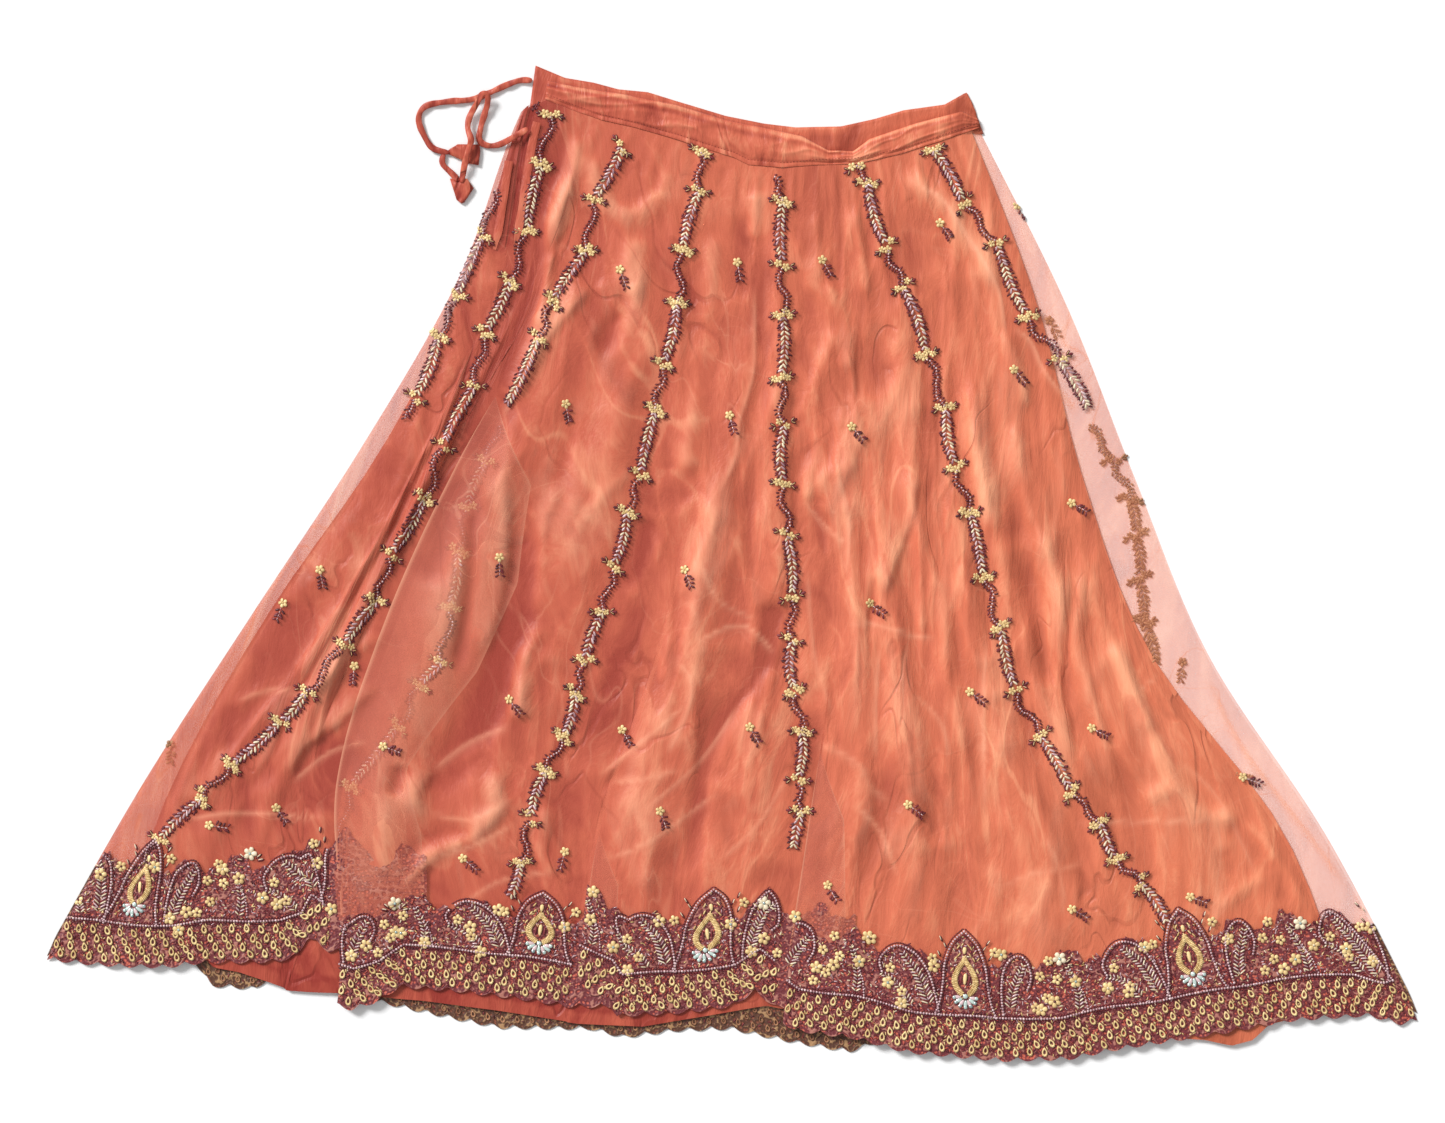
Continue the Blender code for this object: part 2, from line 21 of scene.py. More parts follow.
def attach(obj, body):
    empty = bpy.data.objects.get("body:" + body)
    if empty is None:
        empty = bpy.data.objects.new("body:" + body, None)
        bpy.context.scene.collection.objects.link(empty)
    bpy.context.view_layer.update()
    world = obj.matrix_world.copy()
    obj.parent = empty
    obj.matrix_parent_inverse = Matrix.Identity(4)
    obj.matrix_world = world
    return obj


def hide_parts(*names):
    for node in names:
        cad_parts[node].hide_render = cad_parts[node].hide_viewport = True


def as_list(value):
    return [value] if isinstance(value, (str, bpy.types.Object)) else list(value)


Array = np.ndarray
Points = tuple[Array, ...]
Point = tuple[float, float]
Colour = tuple[float, float, float]
Spot = tuple[float, float, float]
Edge = Callable[[Array], Array]
Placing = Callable[[Array, Array], Points]
Socket = bpy.types.NodeSocket
Material = bpy.types.Material
Mesh = bpy.types.Mesh
Piece = bpy.types.Object

LOG = logging.getLogger("lehenga")

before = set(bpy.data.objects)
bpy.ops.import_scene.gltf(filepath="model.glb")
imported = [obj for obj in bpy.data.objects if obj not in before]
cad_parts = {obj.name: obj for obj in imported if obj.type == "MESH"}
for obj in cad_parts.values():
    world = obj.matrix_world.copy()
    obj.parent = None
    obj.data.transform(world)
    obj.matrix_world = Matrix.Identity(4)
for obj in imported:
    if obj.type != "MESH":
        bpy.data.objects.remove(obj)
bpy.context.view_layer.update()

MM = 0.001
PHOTO_PIXEL = 1.05  # mm of the laid skirt for each pixel of the photograph
PHOTO_WIDTH = 1445
PHOTO_CENTRE = (-10.5, 2.6)  # plan point below the middle of the photograph
BODY = "root"
NARROWEST = 0.35  # width of the cloth's pattern at the waist, as a share of its width at the hem
SEED = 5
SKIRT_LENGTH = 930.0  # mm from the seam at the waist to the hem

# Lines down the front: name, x at the waist, x at the hem, sideways bow at 20, 40, 60 and 80 %
GUIDES = (
    ("net_left", -222, -721, 33, 31, 15, 1),
    ("lining_left", -219, -652, 28, 26, -8, -21),
    ("slit_left", -213, -603, 41, 40, 17, -33),
    ("slit_right", -208, -597, 41, 40, 17, -33),
    ("flap_a_under", -122, -424, -8, -49, -69, -61),
    ("flap_a", -115, -415, -8, -49, -69, -61),
    ("flap_b_under", -1, -171, 17, 24, 18, -9),
    ("flap_b", 4, -165, 17, 24, 18, -9),
    ("flap_c_under", 77, 45, 11, 26, 37, 19),
    ("flap_c", 83, 53, 11, 26, 37, 19),
    ("lining_right", 251, 650, -10, -42, -51, 6),
    ("net_right", 259, 720, 0, -19, -34, -5),
)
NET_LEFT, NET_RIGHT = -721.0, 720.0
LINING_LEFT, LINING_RIGHT = -652.0, 650.0
SLIT = -600.0
SLIT_SHARE = 0.168  # how far down the front the slit reaches
NET_SHARE = 0.86  # how far down the net reaches, where the border takes over

# Folds of the satin: x at the hem, half width there, height, and the shares of the way down where
# it begins, is full and ends
FOLDS = (
    (-575, 48, 6.0, 0.10, 0.55, 1.10),
    (-500, 46, 9.0, 0.02, 0.45, 1.15),
    (-365, 55, 10.0, 0.05, 0.50, 1.20),
    (-270, 52, 7.5, 0.00, 0.35, 1.10),
    (-120, 55, 9.5, 0.10, 0.60, 1.20),
    (-30, 46, 7.0, 0.00, 0.25, 0.95),
    (105, 62, 8.5, 0.04, 0.50, 1.15),
    (185, 56, 10.5, 0.15, 0.65, 1.15),
    (275, 56, 6.5, 0.00, 0.30, 1.00),
    (350, 58, 9.5, 0.08, 0.55, 1.15),
    (440, 58, 8.0, 0.02, 0.40, 1.10),
    (530, 60, 11.0, 0.12, 0.60, 1.15),
)

# Seam below the front waistband, and the hems: x, y
FRONT_SEAM = (
    (-222, 476), (-213, 481), (-197, 488), (-166, 476), (-137, 466), (-101, 458), (-60, 446),
    (-29, 436), (1, 427), (17, 419), (53, 416), (89, 419), (130, 420), (175, 430), (216, 443),
    (259, 458),
)
FRONT_HEM = (
    (-721, -412), (-666, -418), (-596, -420), (-559, -415), (-480, -414), (-457, -408),
    (-446, -388), (-424, -403), (-415, -460), (-400, -464), (-374, -456), (-349, -440),
    (-285, -445), (-221, -453), (-171, -461), (-165, -440), (-131, -455), (-121, -471),
    (-60, -468), (-2, -461), (24, -445), (45, -462), (53, -478), (66, -486), (123, -493),
    (184, -509), (283, -518), (353, -516), (408, -505), (494, -492), (584, -476), (623, -473),
    (670, -471), (702, -480), (720, -476),
)
LINING_HEM = (
    (-652, -404), (-560, -411), (-541, -424), (-512, -429), (-448, -448), (-320, -459),
    (-243, -469), (-156, -483), (-92, -486), (-28, -475), (36, -464), (100, -478), (250, -498),
    (400, -494), (494, -500), (518, -506), (541, -500), (562, -484), (650, -462),
)
BACK_HEM = (
    (-718, -408), (-620, -412), (-566, -414), (-548, -440), (-502, -443), (-484, -430),
    (-430, -440), (-384, -454), (-345, -463), (-285, -476), (-243, -484), (-150, -485),
    (-115, -494), (-60, -487), (-2, -485), (24, -491), (69, -500), (123, -509), (150, -500),
    (230, -508), (330, -510), (450, -492), (600, -468), (717, -468),
)
# Top edges of the waistband's back and front runs: x, y
BACK_BAND_TOP = (
    (-207, 524), (-176, 511), (-146, 506), (-120, 499), (-89, 496), (-60, 487), (-7, 471),
    (33, 463), (66, 459), (114, 460), (150, 468), (180, 477), (223, 483), (246, 496), (259, 472),
)
FRONT_BAND_TOP = (
    (-194, 508), (-166, 502), (-120, 495), (-60, 483), (-7, 467), (33, 459), (73, 450),
    (101, 435), (127, 434), (144, 447), (191, 463), (241, 476), (258, 468),
)

# Creases and troughs of the satin: width, height, skew towards the side on the left when going
# along it, and the plan points that it runs through
SATIN_CREASES = (
    (20, -7, 0.3, ((-197, 366), (-203, 340), (-225, 242), (-257, 161), (-267, 124), (-280, 99))),
    (12, 3.5, 0.2, ((-173, 413), (-177, 388), (-193, 351), (-201, 321), (-213, 277))),
    (14, 4.5, 0.5, ((-144, 300), (-177, 262), (-196, 238), (-212, 209), (-233, 166))),
    (10, 2.5, 0, ((-104, 327), (-98, 300), (-108, 266), (-115, 231), (-132, 209), (-137, 169))),
    (
        9, 2.2, 0.3,
        ((23, 300), (24, 252), (22, 198), (8, 150), (3, 110), (-16, 70), (-25, 12), (-38, -47),
        (-57, -99)),
    ),
    (10, 2.5, -0.2, ((-40, 236), (-37, 185), (-46, 131), (-51, 91))),
    (10, 3, 0.3, ((96, 300), (115, 257), (123, 198))),
    (10, 3, -0.3, ((110, 252), (94, 212), (67, 145))),
    (11, 3, -0.3, ((142, 185), (115, 121), (86, 69))),
    (9, 1.8, 0, ((-34, 114), (-64, 90), (-92, 67))),
    (8, 2, 0, ((249, 193), (257, 113), (265, 46))),
    (13, 3, 0, ((201, 328), (174, 193), (134, 113))),
    (17, -7, 0, ((-212, 44), (-220, -16), (-234, -82), (-255, -147), (-289, -203), (-330, -246))),
    (9, 3, 0.3, ((-177, 91), (-196, 46), (-204, -16), (-201, -58))),
    (9, 3, 0.3, ((-199, -61), (-220, -104), (-223, -135), (-215, -165))),
    (12, -4.5, 0, ((-87, 51), (-97, 4), (-113, -29))),
    (8, 2.5, 0.2, ((-70, 57), (-78, 17), (-113, -42))),
    (11, 3.6, 0.6, ((195, 103), (186, 49), (169, 1), (155, -37))),
    (9, 2.5, 0, ((251, 151), (264, 84), (276, 30))),
    (9, 2.5, 0.2, ((297, 151), (300, 117), (310, 63), (314, 34))),
    (5, -2.4, 0.3, ((359, -9), (353, -77), (354, -144), (369, -236))),
    (9, 2.4, 0, ((344, 4), (340, -80), (342, -143), (352, -227))),
    (6, -2.6, 0, ((369, -38), (374, -105), (398, -185), (409, -219), (428, -252))),
    (11, 3.6, 0.3, ((361, 12), (385, -49), (423, -140), (452, -198), (476, -249))),
    (9, 3, 0, ((431, -257), (442, -242), (466, -236), (490, -260), (511, -266), (538, -266))),
    (8, -3, 0, ((521, -273), (549, -295), (570, -321))),
    (9, 3.6, 0.4, ((535, -266), (559, -295), (586, -330), (600, -357), (613, -364))),
    (8, -3, 0, ((564, -311), (578, -338), (573, -358))),
    (7, -2.5, 0, ((516, -300), (520, -313), (524, -327))),
    (8, 2.5, 0, ((511, -364), (530, -345), (562, -327))),
    (10, 4, 0.6, ((-369, -124), (-393, -146), (-419, -170), (-452, -194), (-465, -231))),
    (22, -6, 0, ((-402, -180), (-428, -222), (-435, -267))),
    (9, 3, 0.4, ((-352, -74), (-393, -89), (-430, -124), (-468, -156), (-492, -205), (-523, -237))),
    (8, -3, 0, ((-522, -146), (-530, -184), (-536, -205))),
    (8, 2.5, 0, ((-492, -124), (-500, -135), (-516, -146), (-522, -160))),
    (11, 4, 0.4, ((-256, -184), (-291, -210), (-323, -224), (-333, -250), (-318, -260))),
    (
        11, 4.5, 0.4,
        ((-245, -210), (-248, -237), (-240, -253), (-272, -285), (-312, -303), (-339, -333)),
    ),
    (9, -3.5, 0, ((-345, -312), (-312, -288), (-269, -282))),
    (9, 3, -0.3, ((-197, -250), (-200, -303), (-184, -331))),
    (9, 3, 0.2, ((-214, -76), (-219, -111), (-224, -146), (-219, -167))),
    (9, -5, 0, ((-347, -211), (-351, -227), (-356, -245))),
    (12, 3, 0, ((24, 393), (26, 370), (20, 340))),
    (10, 3.2, 0.3, ((-150, 435), (-143, 405), (-133, 382), (-110, 368), (-89, 376), (-78, 399))),
    (14, 3, 0, ((-97, 345), (-101, 309), (-110, 277))),
    (10, 2.5, 0, ((-139, 298), (-127, 277), (-116, 260))),
    (14, 4, 0.2, ((182, 419), (193, 400), (220, 384), (241, 354), (265, 317), (281, 285))),
    (16, -4, 0, ((39, -38), (41, -80), (35, -118))),
    (10, 3, -0.3, ((89, 143), (83, 99), (77, 63))),
    (9, 2.5, 0.2, ((139, 143), (121, 99), (91, 44))),
    (9, -3, 0, ((12, 370), (9, 319), (10, 277))),
    (10, 2.8, 0.2, ((-17, 349), (-24, 288), (-28, 246))),
    (9, 2.4, 0, ((83, 372), (87, 330), (83, 277))),
    (9, 2.6, 0.2, ((123, 377), (136, 330), (140, 277))),
    (9, -2.6, 0, ((184, 351), (195, 317), (201, 277))),
    (10, 2.8, 0.2, ((281, 246), (300, 204), (312, 162))),
    (11, 3, 0.2, ((394, -80), (428, -143), (438, -180))),
    (14, 3, 0, ((-407, -38), (-423, -80), (-454, -122))),
    (
        8, -6, 0,
        ((51, -22), (37, -80), (20, -122), (1, -148), (-22, -185), (-34, -237), (-40, -290),
        (-47, -332)),
    ),
    (8, -4.5, 0.2, ((-175, 458), (-185, 419), (-197, 377), (-206, 330), (-215, 277))),
    (6, 3, 0.2, ((-160, 456), (-167, 414), (-179, 372), (-187, 330))),
    (8, -5, 0, ((-202, 403), (-211, 356), (-219, 309), (-232, 256))),
    (7, 3.2, 0, ((-190, 330), (-196, 288), (-206, 246))),
    (10, -3.5, 0, ((-97, -38), (-116, -101), (-133, -143))),
    (9, -3.5, 0.2, ((312, 4), (317, -38), (325, -90), (333, -132))),
    (16, -3.5, 0, ((-444, -38), (-465, -80), (-494, -113))),
    (14, 3, 0, ((-528, -185), (-547, -227), (-570, -258))),
    (12, -3, 0, ((-612, -248), (-622, -290), (-624, -321))),
    (16, -5, 0, ((-291, 99), (-301, 36), (-318, -27))),
    (8, -5, 0, ((-267, 88), (-271, 25), (-276, -38), (-291, -122))),
    (9, 4, 0.3, ((-239, 99), (-238, 25), (-244, -38), (-265, -101))),
)
# Thin creases of the net: width, height, how much paler they are, points
NET_CREASES = (
    (3.5, 1.0, 0.55, ((-40, -82), (10, -63), (48, -96))),
    (3.5, 1.0, 0.5, ((-62, -96), (-44, -118), (-44, -149), (-68, -203))),
    (3.5, 0.9, 0.5, ((-54, -216), (-92, -227), (-129, -230))),
    (4, 1.2, 0.45, ((-317, -218), (-277, -187), (-230, -168))),
    (3.5, 1.0, 0.5, ((117, -60), (152, -63), (190, -74), (217, -77))),
    (2.5, 0.5, 0.5, ((267, -77), (264, -151), (266, -269))),
    (3, 0.8, 0.5, ((155, -84), (151, -151), (151, -210))),
    (3, 0.9, 0.4, ((79, 1), (86, -90), (101, -143), (107, -165))),
    (4.5, 1.6, 0.4, ((82, -189), (107, -194), (136, -213), (146, -234), (169, -251))),
    (3, 0.7, 0.45, ((355, -273), (432, -269), (509, -268))),
    (3, 0.8, 0.4, ((281, -338), (317, -323), (353, -316), (372, -308))),
    (2.5, 0.7, 0.5, ((449, -118), (437, -126), (426, -134))),
    (3, 0.9, 0.45, ((-580, -267), (-513, -260), (-463, -264), (-425, -265))),
    (
        3, 1.2, 0.6,
        ((182, 419), (193, 400), (220, 384), (241, 354), (265, 317), (281, 285), (286, 253),
        (291, 223)),
    ),
    (3, 1.3, 0.6, ((291, 250), (313, 236), (327, 205), (346, 181), (367, 156))),
    (3.5, 0.8, 0.5, ((497, -110), (536, -191), (610, -289), (654, -350))),
    (3, 0.9, 0.4, ((23, 300), (24, 252), (22, 198), (8, 150), (3, 110), (-16, 70))),
    (3, 1.0, 0.5, ((-198, 242), (-217, 219), (-230, 183), (-239, 148))),
    (3, 0.9, 0.5, ((-143, -223), (-97, -187), (-45, -143))),
    (3, 0.8, 0.45, ((-139, -311), (-87, -290), (-13, -237))),
    (3, 0.8, 0.45, ((-97, -260), (-34, -206), (8, -143))),
    (3, 0.8, 0.4, ((-13, -311), (29, -269), (60, -216))),
    (3, 0.9, 0.45, ((123, -248), (155, -279), (176, -332))),
    (3, 0.8, 0.4, ((186, -132), (218, -164), (230, -206))),
    (3, 0.8, 0.45, ((-286, -358), (-244, -332), (-181, -321))),
    (3, 1.0, 0.45, ((-318, -260), (-276, -267), (-234, -248))),
    (3, 1.0, 0.5, ((-354, -342), (-318, -311), (-276, -296), (-223, -269))),
    (3, 0.8, 0.4, ((-521, -143), (-486, -132), (-444, -136))),
    (3, 0.9, 0.45, ((-465, -231), (-423, -197), (-379, -185))),
    (3, 0.8, 0.4, ((470, -206), (512, -248), (554, -332))),
    (3, 0.7, 0.4, ((323, -279), (344, -321), (348, -374))),
    (3, 0.8, 0.4, ((-34, 4), (-13, -38), (29, -59))),
    (3, 0.8, 0.45, ((109, 99), (123, 46), (119, -17))),
    (3, 0.8, 0.45, ((75, 67), (102, 36), (123, 20))),
)

# Embroidered vines: what lies between the knots of flowers, S a leafy spray and T a stem of beads,
# and x, y of the knots
VINES = {
    "vine_1": ("TSTST", (
        (-248, 394), (-262, 345), (-289, 282), (-308, 239), (-333, 175), (-343, 153),
    )),
    "vine_2": ("TSTSTSTSTSTSSTST", (
        (-191, 471), (-201, 420), (-216, 349), (-234, 298), (-260, 242), (-272, 187), (-303, 124),
        (-323, 70), (-358, 10), (-374, -38), (-407, -86), (-447, -135), (-475, -166), (-526, -211),
        (-556, -245), (-602, -290), (-623, -316),
    )),
    "vine_3": ("STSTS", (
        (-116, 438), (-145, 382), (-154, 330), (-188, 276), (-204, 237), (-240, 164),
    )),
    "vine_4": ("TSTSTSTSTSTSTSTS", (
        (-33, 433), (-36, 392), (-52, 330), (-58, 275), (-73, 209), (-81, 162), (-97, 93), (-110, 55),
        (-125, -3), (-137, -50), (-155, -101), (-165, -136), (-178, -181), (-196, -217), (-212, -267),
        (-222, -313), (-237, -352),
    )),
    "vine_5": ("TSTSTSTSTSTSTS", (
        (44, 407), (52, 380), (52, 314), (53, 262), (51, 195), (53, 147), (53, 84), (57, 32),
        (62, -35), (62, -79), (65, -134), (73, -176), (69, -227), (72, -259), (64, -303),
    )),
    "vine_6": ("TSTSTSTSTSTSTSTS", (
        (130, 418), (141, 401), (162, 333), (179, 291), (203, 220), (223, 164), (234, 102), (249, 54),
        (263, -14), (281, -67), (297, -132), (323, -180), (356, -240), (385, -272), (403, -310),
        (429, -336), (457, -380),
    )),
    "vine_7": ("STSTS", (
        (211, 435), (243, 378), (276, 337), (310, 260), (343, 216), (375, 161),
    )),
}
BACK_VINE = ("TTSSSS", (
    (374, 145), (401, 109), (418, 67), (424, 30), (428, -15), (432, -59), (445, -108),
))
HIDDEN_VINE = ("TSTSTSTST", (
    (-244, 146), (-259, 108), (-279, 59), (-287, 14), (-296, -46), (-306, -102), (-328, -128),
    (-351, -170), (-401, -235), (-409, -289),
))
# Scattered sprigs: x, y of the flower, direction of its leaves in degrees
SPRIGS = (
    (-118, 309, -70), (5, 317, -80), (94, 319, -60), (218, 358, -55), (299, 377, -50),
    (-175, 168, -80), (-3, 156, -75), (125, 144, -50), (295, 204, -50), (-244, 7, -90), (-50, -6, -70),
    (144, -41, -40), (356, 64, -30), (-433, -6, -80), (-472, -41, -110), (-397, -107, -95),
    (-234, -142, -50), (-116, -174, -60), (18, -171, -60), (249, -134, -38), (377, -172, -28),
    (536, -224, -20), (-366, -191, -20), (-283, -309, -40), (-549, -274, -10), (-479, -256, -55),
    (-76, -259, -70), (184, -252, -38), (-176, -302, -105), (100, -337, -60), (356, -362, -30),
    (480, -349, -20),
)
BACK_SPRIGS = (
    (473, -103, -95), (333, 256, -60), (-591, -190, -90), (529, -222, -15),
)
# Flowers of the border: x, y
GOLD_FLOWERS = (
    (-664, -326), (-606, -318), (-591, -372), (-573, -365), (-581, -384), (-535, -320), (-518, -330),
    (-493, -350), (-478, -357), (-436, -314), (-421, -362), (-400, -411), (-384, -400), (-353, -386),
    (-323, -397), (-275, -381), (-348, -387), (-264, -407), (-246, -363), (-176, -381), (-146, -344),
    (-149, -373), (-125, -402), (-110, -426), (-77, -375), (-2, -378), (20, -407), (33, -393),
    (66, -370), (88, -423), (106, -420), (133, -417), (142, -391), (145, -393), (163, -439),
    (177, -461), (211, -422), (282, -410), (324, -468), (338, -459), (360, -438), (394, -445),
    (416, -449), (432, -402), (520, -393), (579, -425), (591, -415), (610, -400), (670, -382),
    (645, -404), (673, -417),
)
WHITE_FLOWERS = (
    (-506, -304), (-354, -356), (33, -356), (343, -414), (596, -377),
)

# Drawstring: x, y, height of its middle
STRING_ROUTES = {
    "tie_upper": (
        (-210, 508, 2.6), (-222, 508.5, 2.6), (-236, 504, 2.6), (-256, 495, 2.6), (-275, 488, 2.6),
        (-299, 486, 2.6), (-323, 481, 2.6), (-330, 468, 2.6), (-325, 452, 2.6), (-315, 437, 2.6),
        (-297.0, 432.0, 2.9),
    ),
    "tie_lower": (
        (-214, 457, 10.4), (-222, 452, 10.4), (-232, 446.5, 9.6), (-244, 441, 3.4), (-257, 439.5, 2.6),
        (-266, 445, 3.2), (-265, 457, 3.2), (-261, 471, 3.4), (-257, 484, 7.0), (-257, 493, 10.2),
        (-263, 493, 9.6), (-268, 484, 7.0), (-276, 470, 4.6), (-278, 457, 6.6), (-274, 445, 9.4),
        (-277, 435, 8.2), (-281, 420, 7.0), (-283.5, 407.0, 4.2),
        (-285.0, 400.0, 3.8),
    ),
    "tie_tail": (
        (-303, 431, 2.6), (-305.5, 425, 2.1), (-304, 419, 2.1), (-297, 412.5, 2.1), (-287, 402.0, 3.4),
    ),
}
LEAVES = {
    "leaf_1": ((-300, 434), (-289, 441), (-266, 441), (-265, 434), (-267, 419), (-277, 421), (-299, 431)),
    "leaf_2": ((-297, 405), (-290, 383), (-285, 379), (-282, 380), (-272, 395), (-279, 405)),
}


def smoothstep(low: float, high: float, value: Array | float) -> Array:
    """0 below low, 1 above high, and a soft rise between them."""
    share = np.clip((np.asarray(value, dtype=float) - low) / (high - low), 0.0, 1.0)
    return share * share * (3.0 - 2.0 * share)


def bump(distance: Array, half_width: float) -> Array:
    """A rounded ridge, 1 on its middle line and 0 from half a width away."""
    return 0.5 + 0.5 * np.cos(math.pi * np.clip(np.abs(distance) / half_width, 0.0, 1.0))


def peak(distance: Array, width: float) -> Array:
    """A bell curve, 1 at no distance."""
    return np.exp(-((distance / width) ** 2))


def soft_floor(value: Array, lowest: float) -> Array:
    """Values that level off softly above a lowest one."""
    return lowest + np.logaddexp(0.0, (value - lowest) / 1.2) * 1.2


def lattice(u: Array, v: Array, seed: int) -> Array:
    """A smooth random height between -1 and 1 whose hills are about one unit wide.

    Args:
        u: first coordinate.
        v: second coordinate.
        seed: which pattern.

    Returns:
        The height at each place.
    """
    table = np.random.default_rng(seed).uniform(-1.0, 1.0, (61, 61))
    low_u, low_v = np.floor(u), np.floor(v)
    part_u, part_v = u - low_u, v - low_v
    part_u = part_u**2 * (3.0 - 2.0 * part_u)
    part_v = part_v**2 * (3.0 - 2.0 * part_v)
    i, j = low_u.astype(int) % 61, low_v.astype(int) % 61
    i2, j2 = (i + 1) % 61, (j + 1) % 61
    near = table[i, j] * (1.0 - part_u) + table[i2, j] * part_u
    far = table[i, j2] * (1.0 - part_u) + table[i2, j2] * part_u
    return near * (1.0 - part_v) + far * part_v


def line_at(table: Sequence[Point], x: Array) -> Array:
    """Heights of a line through a table's points.

    Args:
        table: points of the line, x rising.
        x: where its height is wanted.

    Returns:
        The y of the line at each x.
    """
    return np.interp(x, [row[0] for row in table], [row[1] for row in table])


def catmull(knots: Sequence[Array | float], share: Array) -> Array:
    """Points of a smooth curve through evenly spaced values.

    Args:
        knots: the values, each a number or an array as long as share.
        share: shares of the curve's length.

    Returns:
        The curve's value at each share.
    """
    share = np.asarray(share, dtype=float)
    table = np.stack([np.broadcast_to(np.asarray(knot, dtype=float), share.shape) for knot in knots])
    last = len(knots) - 1
    place = np.clip(share, 0.0, 1.0) * last
    index = np.minimum(place.astype(int), last - 1)
    part = place - index

    def pick(step: int) -> Array:
        """The knots that lie a step from each place."""
        near = np.clip(index + step, 0, last)
        return np.take_along_axis(table, near[None, ...], axis=0)[0]

    before, start, end, after = pick(-1), pick(0), pick(1), pick(2)
    return 0.5 * (
        2.0 * start
        + (end - before) * part
        + (2.0 * before - 5.0 * start + 4.0 * end - after) * part**2
        + (3.0 * start - before - 3.0 * end + after) * part**3
    )


def smooth_line(points: Sequence[Sequence[float]], step: float) -> Array:
    """Evenly spaced points on a smooth curve.

    Args:
        points: what the curve runs through.
        step: the distance wanted between the new points.

    Returns:
        An array of points, one a row.
    """
    knots = np.array(points, dtype=float)
    share = np.linspace(0.0, 1.0, 14 * (len(knots) - 1) + 1)
    fine = np.stack([catmull(list(column), share) for column in knots.T], axis=1)
    return resample(fine, step)


def resample(line: Array, step: float) -> Array:
    """The same line with its points an even step apart."""
    gaps = np.linalg.norm(np.diff(line, axis=0), axis=1)
    lengths = np.concatenate([[0.0], np.cumsum(gaps)])
    count = max(1, round(lengths[-1] / step))
    wanted = np.linspace(0.0, lengths[-1], count + 1)
    return np.stack([np.interp(wanted, lengths, column) for column in line.T], axis=1)


def directions(line: Array) -> Array:
    """Angles of a line at its points, in radians."""
    ahead = np.gradient(line, axis=0)
    return np.arctan2(ahead[:, 1], ahead[:, 0])


def aside(line: Array, distance: Array | float) -> Array:
    """A line moved to its left by a distance, which may differ from point to point."""
    turn = directions(line)
    across = np.stack([-np.sin(turn), np.cos(turn)], axis=1)
    return line + across * np.broadcast_to(np.asarray(distance, dtype=float), turn.shape)[:, None]


def moved(x: float, y: float, *steps: tuple[float, float]) -> Point:
    """A point moved by steps, each a direction in radians and a distance."""
    for turn, distance in steps:
        x += math.cos(turn) * distance
        y += math.sin(turn) * distance
    return x, y


def flare(share: Array) -> Array:
    """Width of the skirt at shares of the way down, as a share of its width at the hem."""
    return NARROWEST + (1.0 - NARROWEST) * share


def own_place(column: Array, share: Array) -> tuple[Array, Array]:
    """The cloth's own coordinates at points of the fan: across and down."""
    return column * flare(share), SKIRT_LENGTH * share


@dataclass(frozen=True)
class Fan:
    """Plan of the skirt's front: columns from the waist seam to the hem, named by their x at the hem."""

    seam: tuple[Point, ...] = FRONT_SEAM
    hem: tuple[Point, ...] = FRONT_HEM
    seam_gap: float = 0.3

    def _column(self, column: Array) -> tuple[Array, list[Array]]:
        """Where columns start at the waist, and their sideways bows."""
        hems = [row[2] for row in GUIDES]
        top_x = np.interp(column, hems, [row[1] for row in GUIDES])
        return top_x, [np.interp(column, hems, [row[3 + k] for row in GUIDES]) for k in range(4)]

    def ends(self, column: Array, low: float, high: float) -> tuple[Array, Array]:
        """Heights in plan of the seam and the hem.

        Args:
            column: x at the hem.
            low: first column of the panel, whose hem holds beyond it.
            high: last column of the panel.

        Returns:
            y at the seam and y at the hem.
        """
        top_x, _ = self._column(column)
        return line_at(self.seam, top_x) - self.seam_gap, line_at(self.hem, np.clip(column, low, high))

    def at(
        self, column: Array, share: Array, low: float = NET_LEFT, high: float = NET_RIGHT
    ) -> tuple[Array, Array]:
        """Plan points at shares of the way down.

        Args:
            column: x at the hem.
            share: 0 at the seam and 1 at the hem.
            low: first column of the panel, whose hem holds beyond it.
            high: last column of the panel.

        Returns:
            x and y of the points.
        """
        top_x, bows = self._column(column)
        top_y, hem_y = self.ends(column, low, high)
        bow = catmull([np.zeros_like(top_x), *bows, np.zeros_like(top_x)], share)
        return top_x + share * (column - top_x) + bow, top_y + share * (hem_y - top_y)


@dataclass(frozen=True)
class Crease:
    """A soft ridge or trough along a curve of the cloth."""

    width: float
    height: float
    skew: float
    points: tuple[Point, ...]

    def profile(self, x: Array, y: Array) -> Array:
        """How strong the crease is at plan points, from 0 to 1."""
        line = smooth_line(self.points, max(8.0, self.width))
        reach = 3.0 * self.width
        near = (x > line[:, 0].min() - reach) & (x < line[:, 0].max() + reach)
        near &= (y > line[:, 1].min() - reach) & (y < line[:, 1].max() + reach)
        found = np.zeros_like(x)
        if not near.any():
            return found
        places = np.stack([x[near], y[near]], axis=1)
        best = np.full(len(places), 1e9)
        side = np.zeros(len(places))
        along = np.zeros(len(places))
        for index, (start, end) in enumerate(zip(line, line[1:])):
            run = end - start
            part = np.clip(((places - start) @ run) / (run @ run), 0.0, 1.0)
            off = places - start - part[:, None] * run
            distance = np.hypot(off[:, 0], off[:, 1])
            closer = distance < best
            best = np.where(closer, distance, best)
            side = np.where(closer, np.sign(run[0] * off[:, 1] - run[1] * off[:, 0]), side)
            along = np.where(closer, (index + part) / (len(line) - 1), along)
        width = self.width * (1.0 - self.skew * side)
        taper = smoothstep(0.0, 0.16, along) * (1.0 - smoothstep(0.84, 1.0, along))
        found[near] = np.exp(-((best / width) ** 2)) * taper
        return found


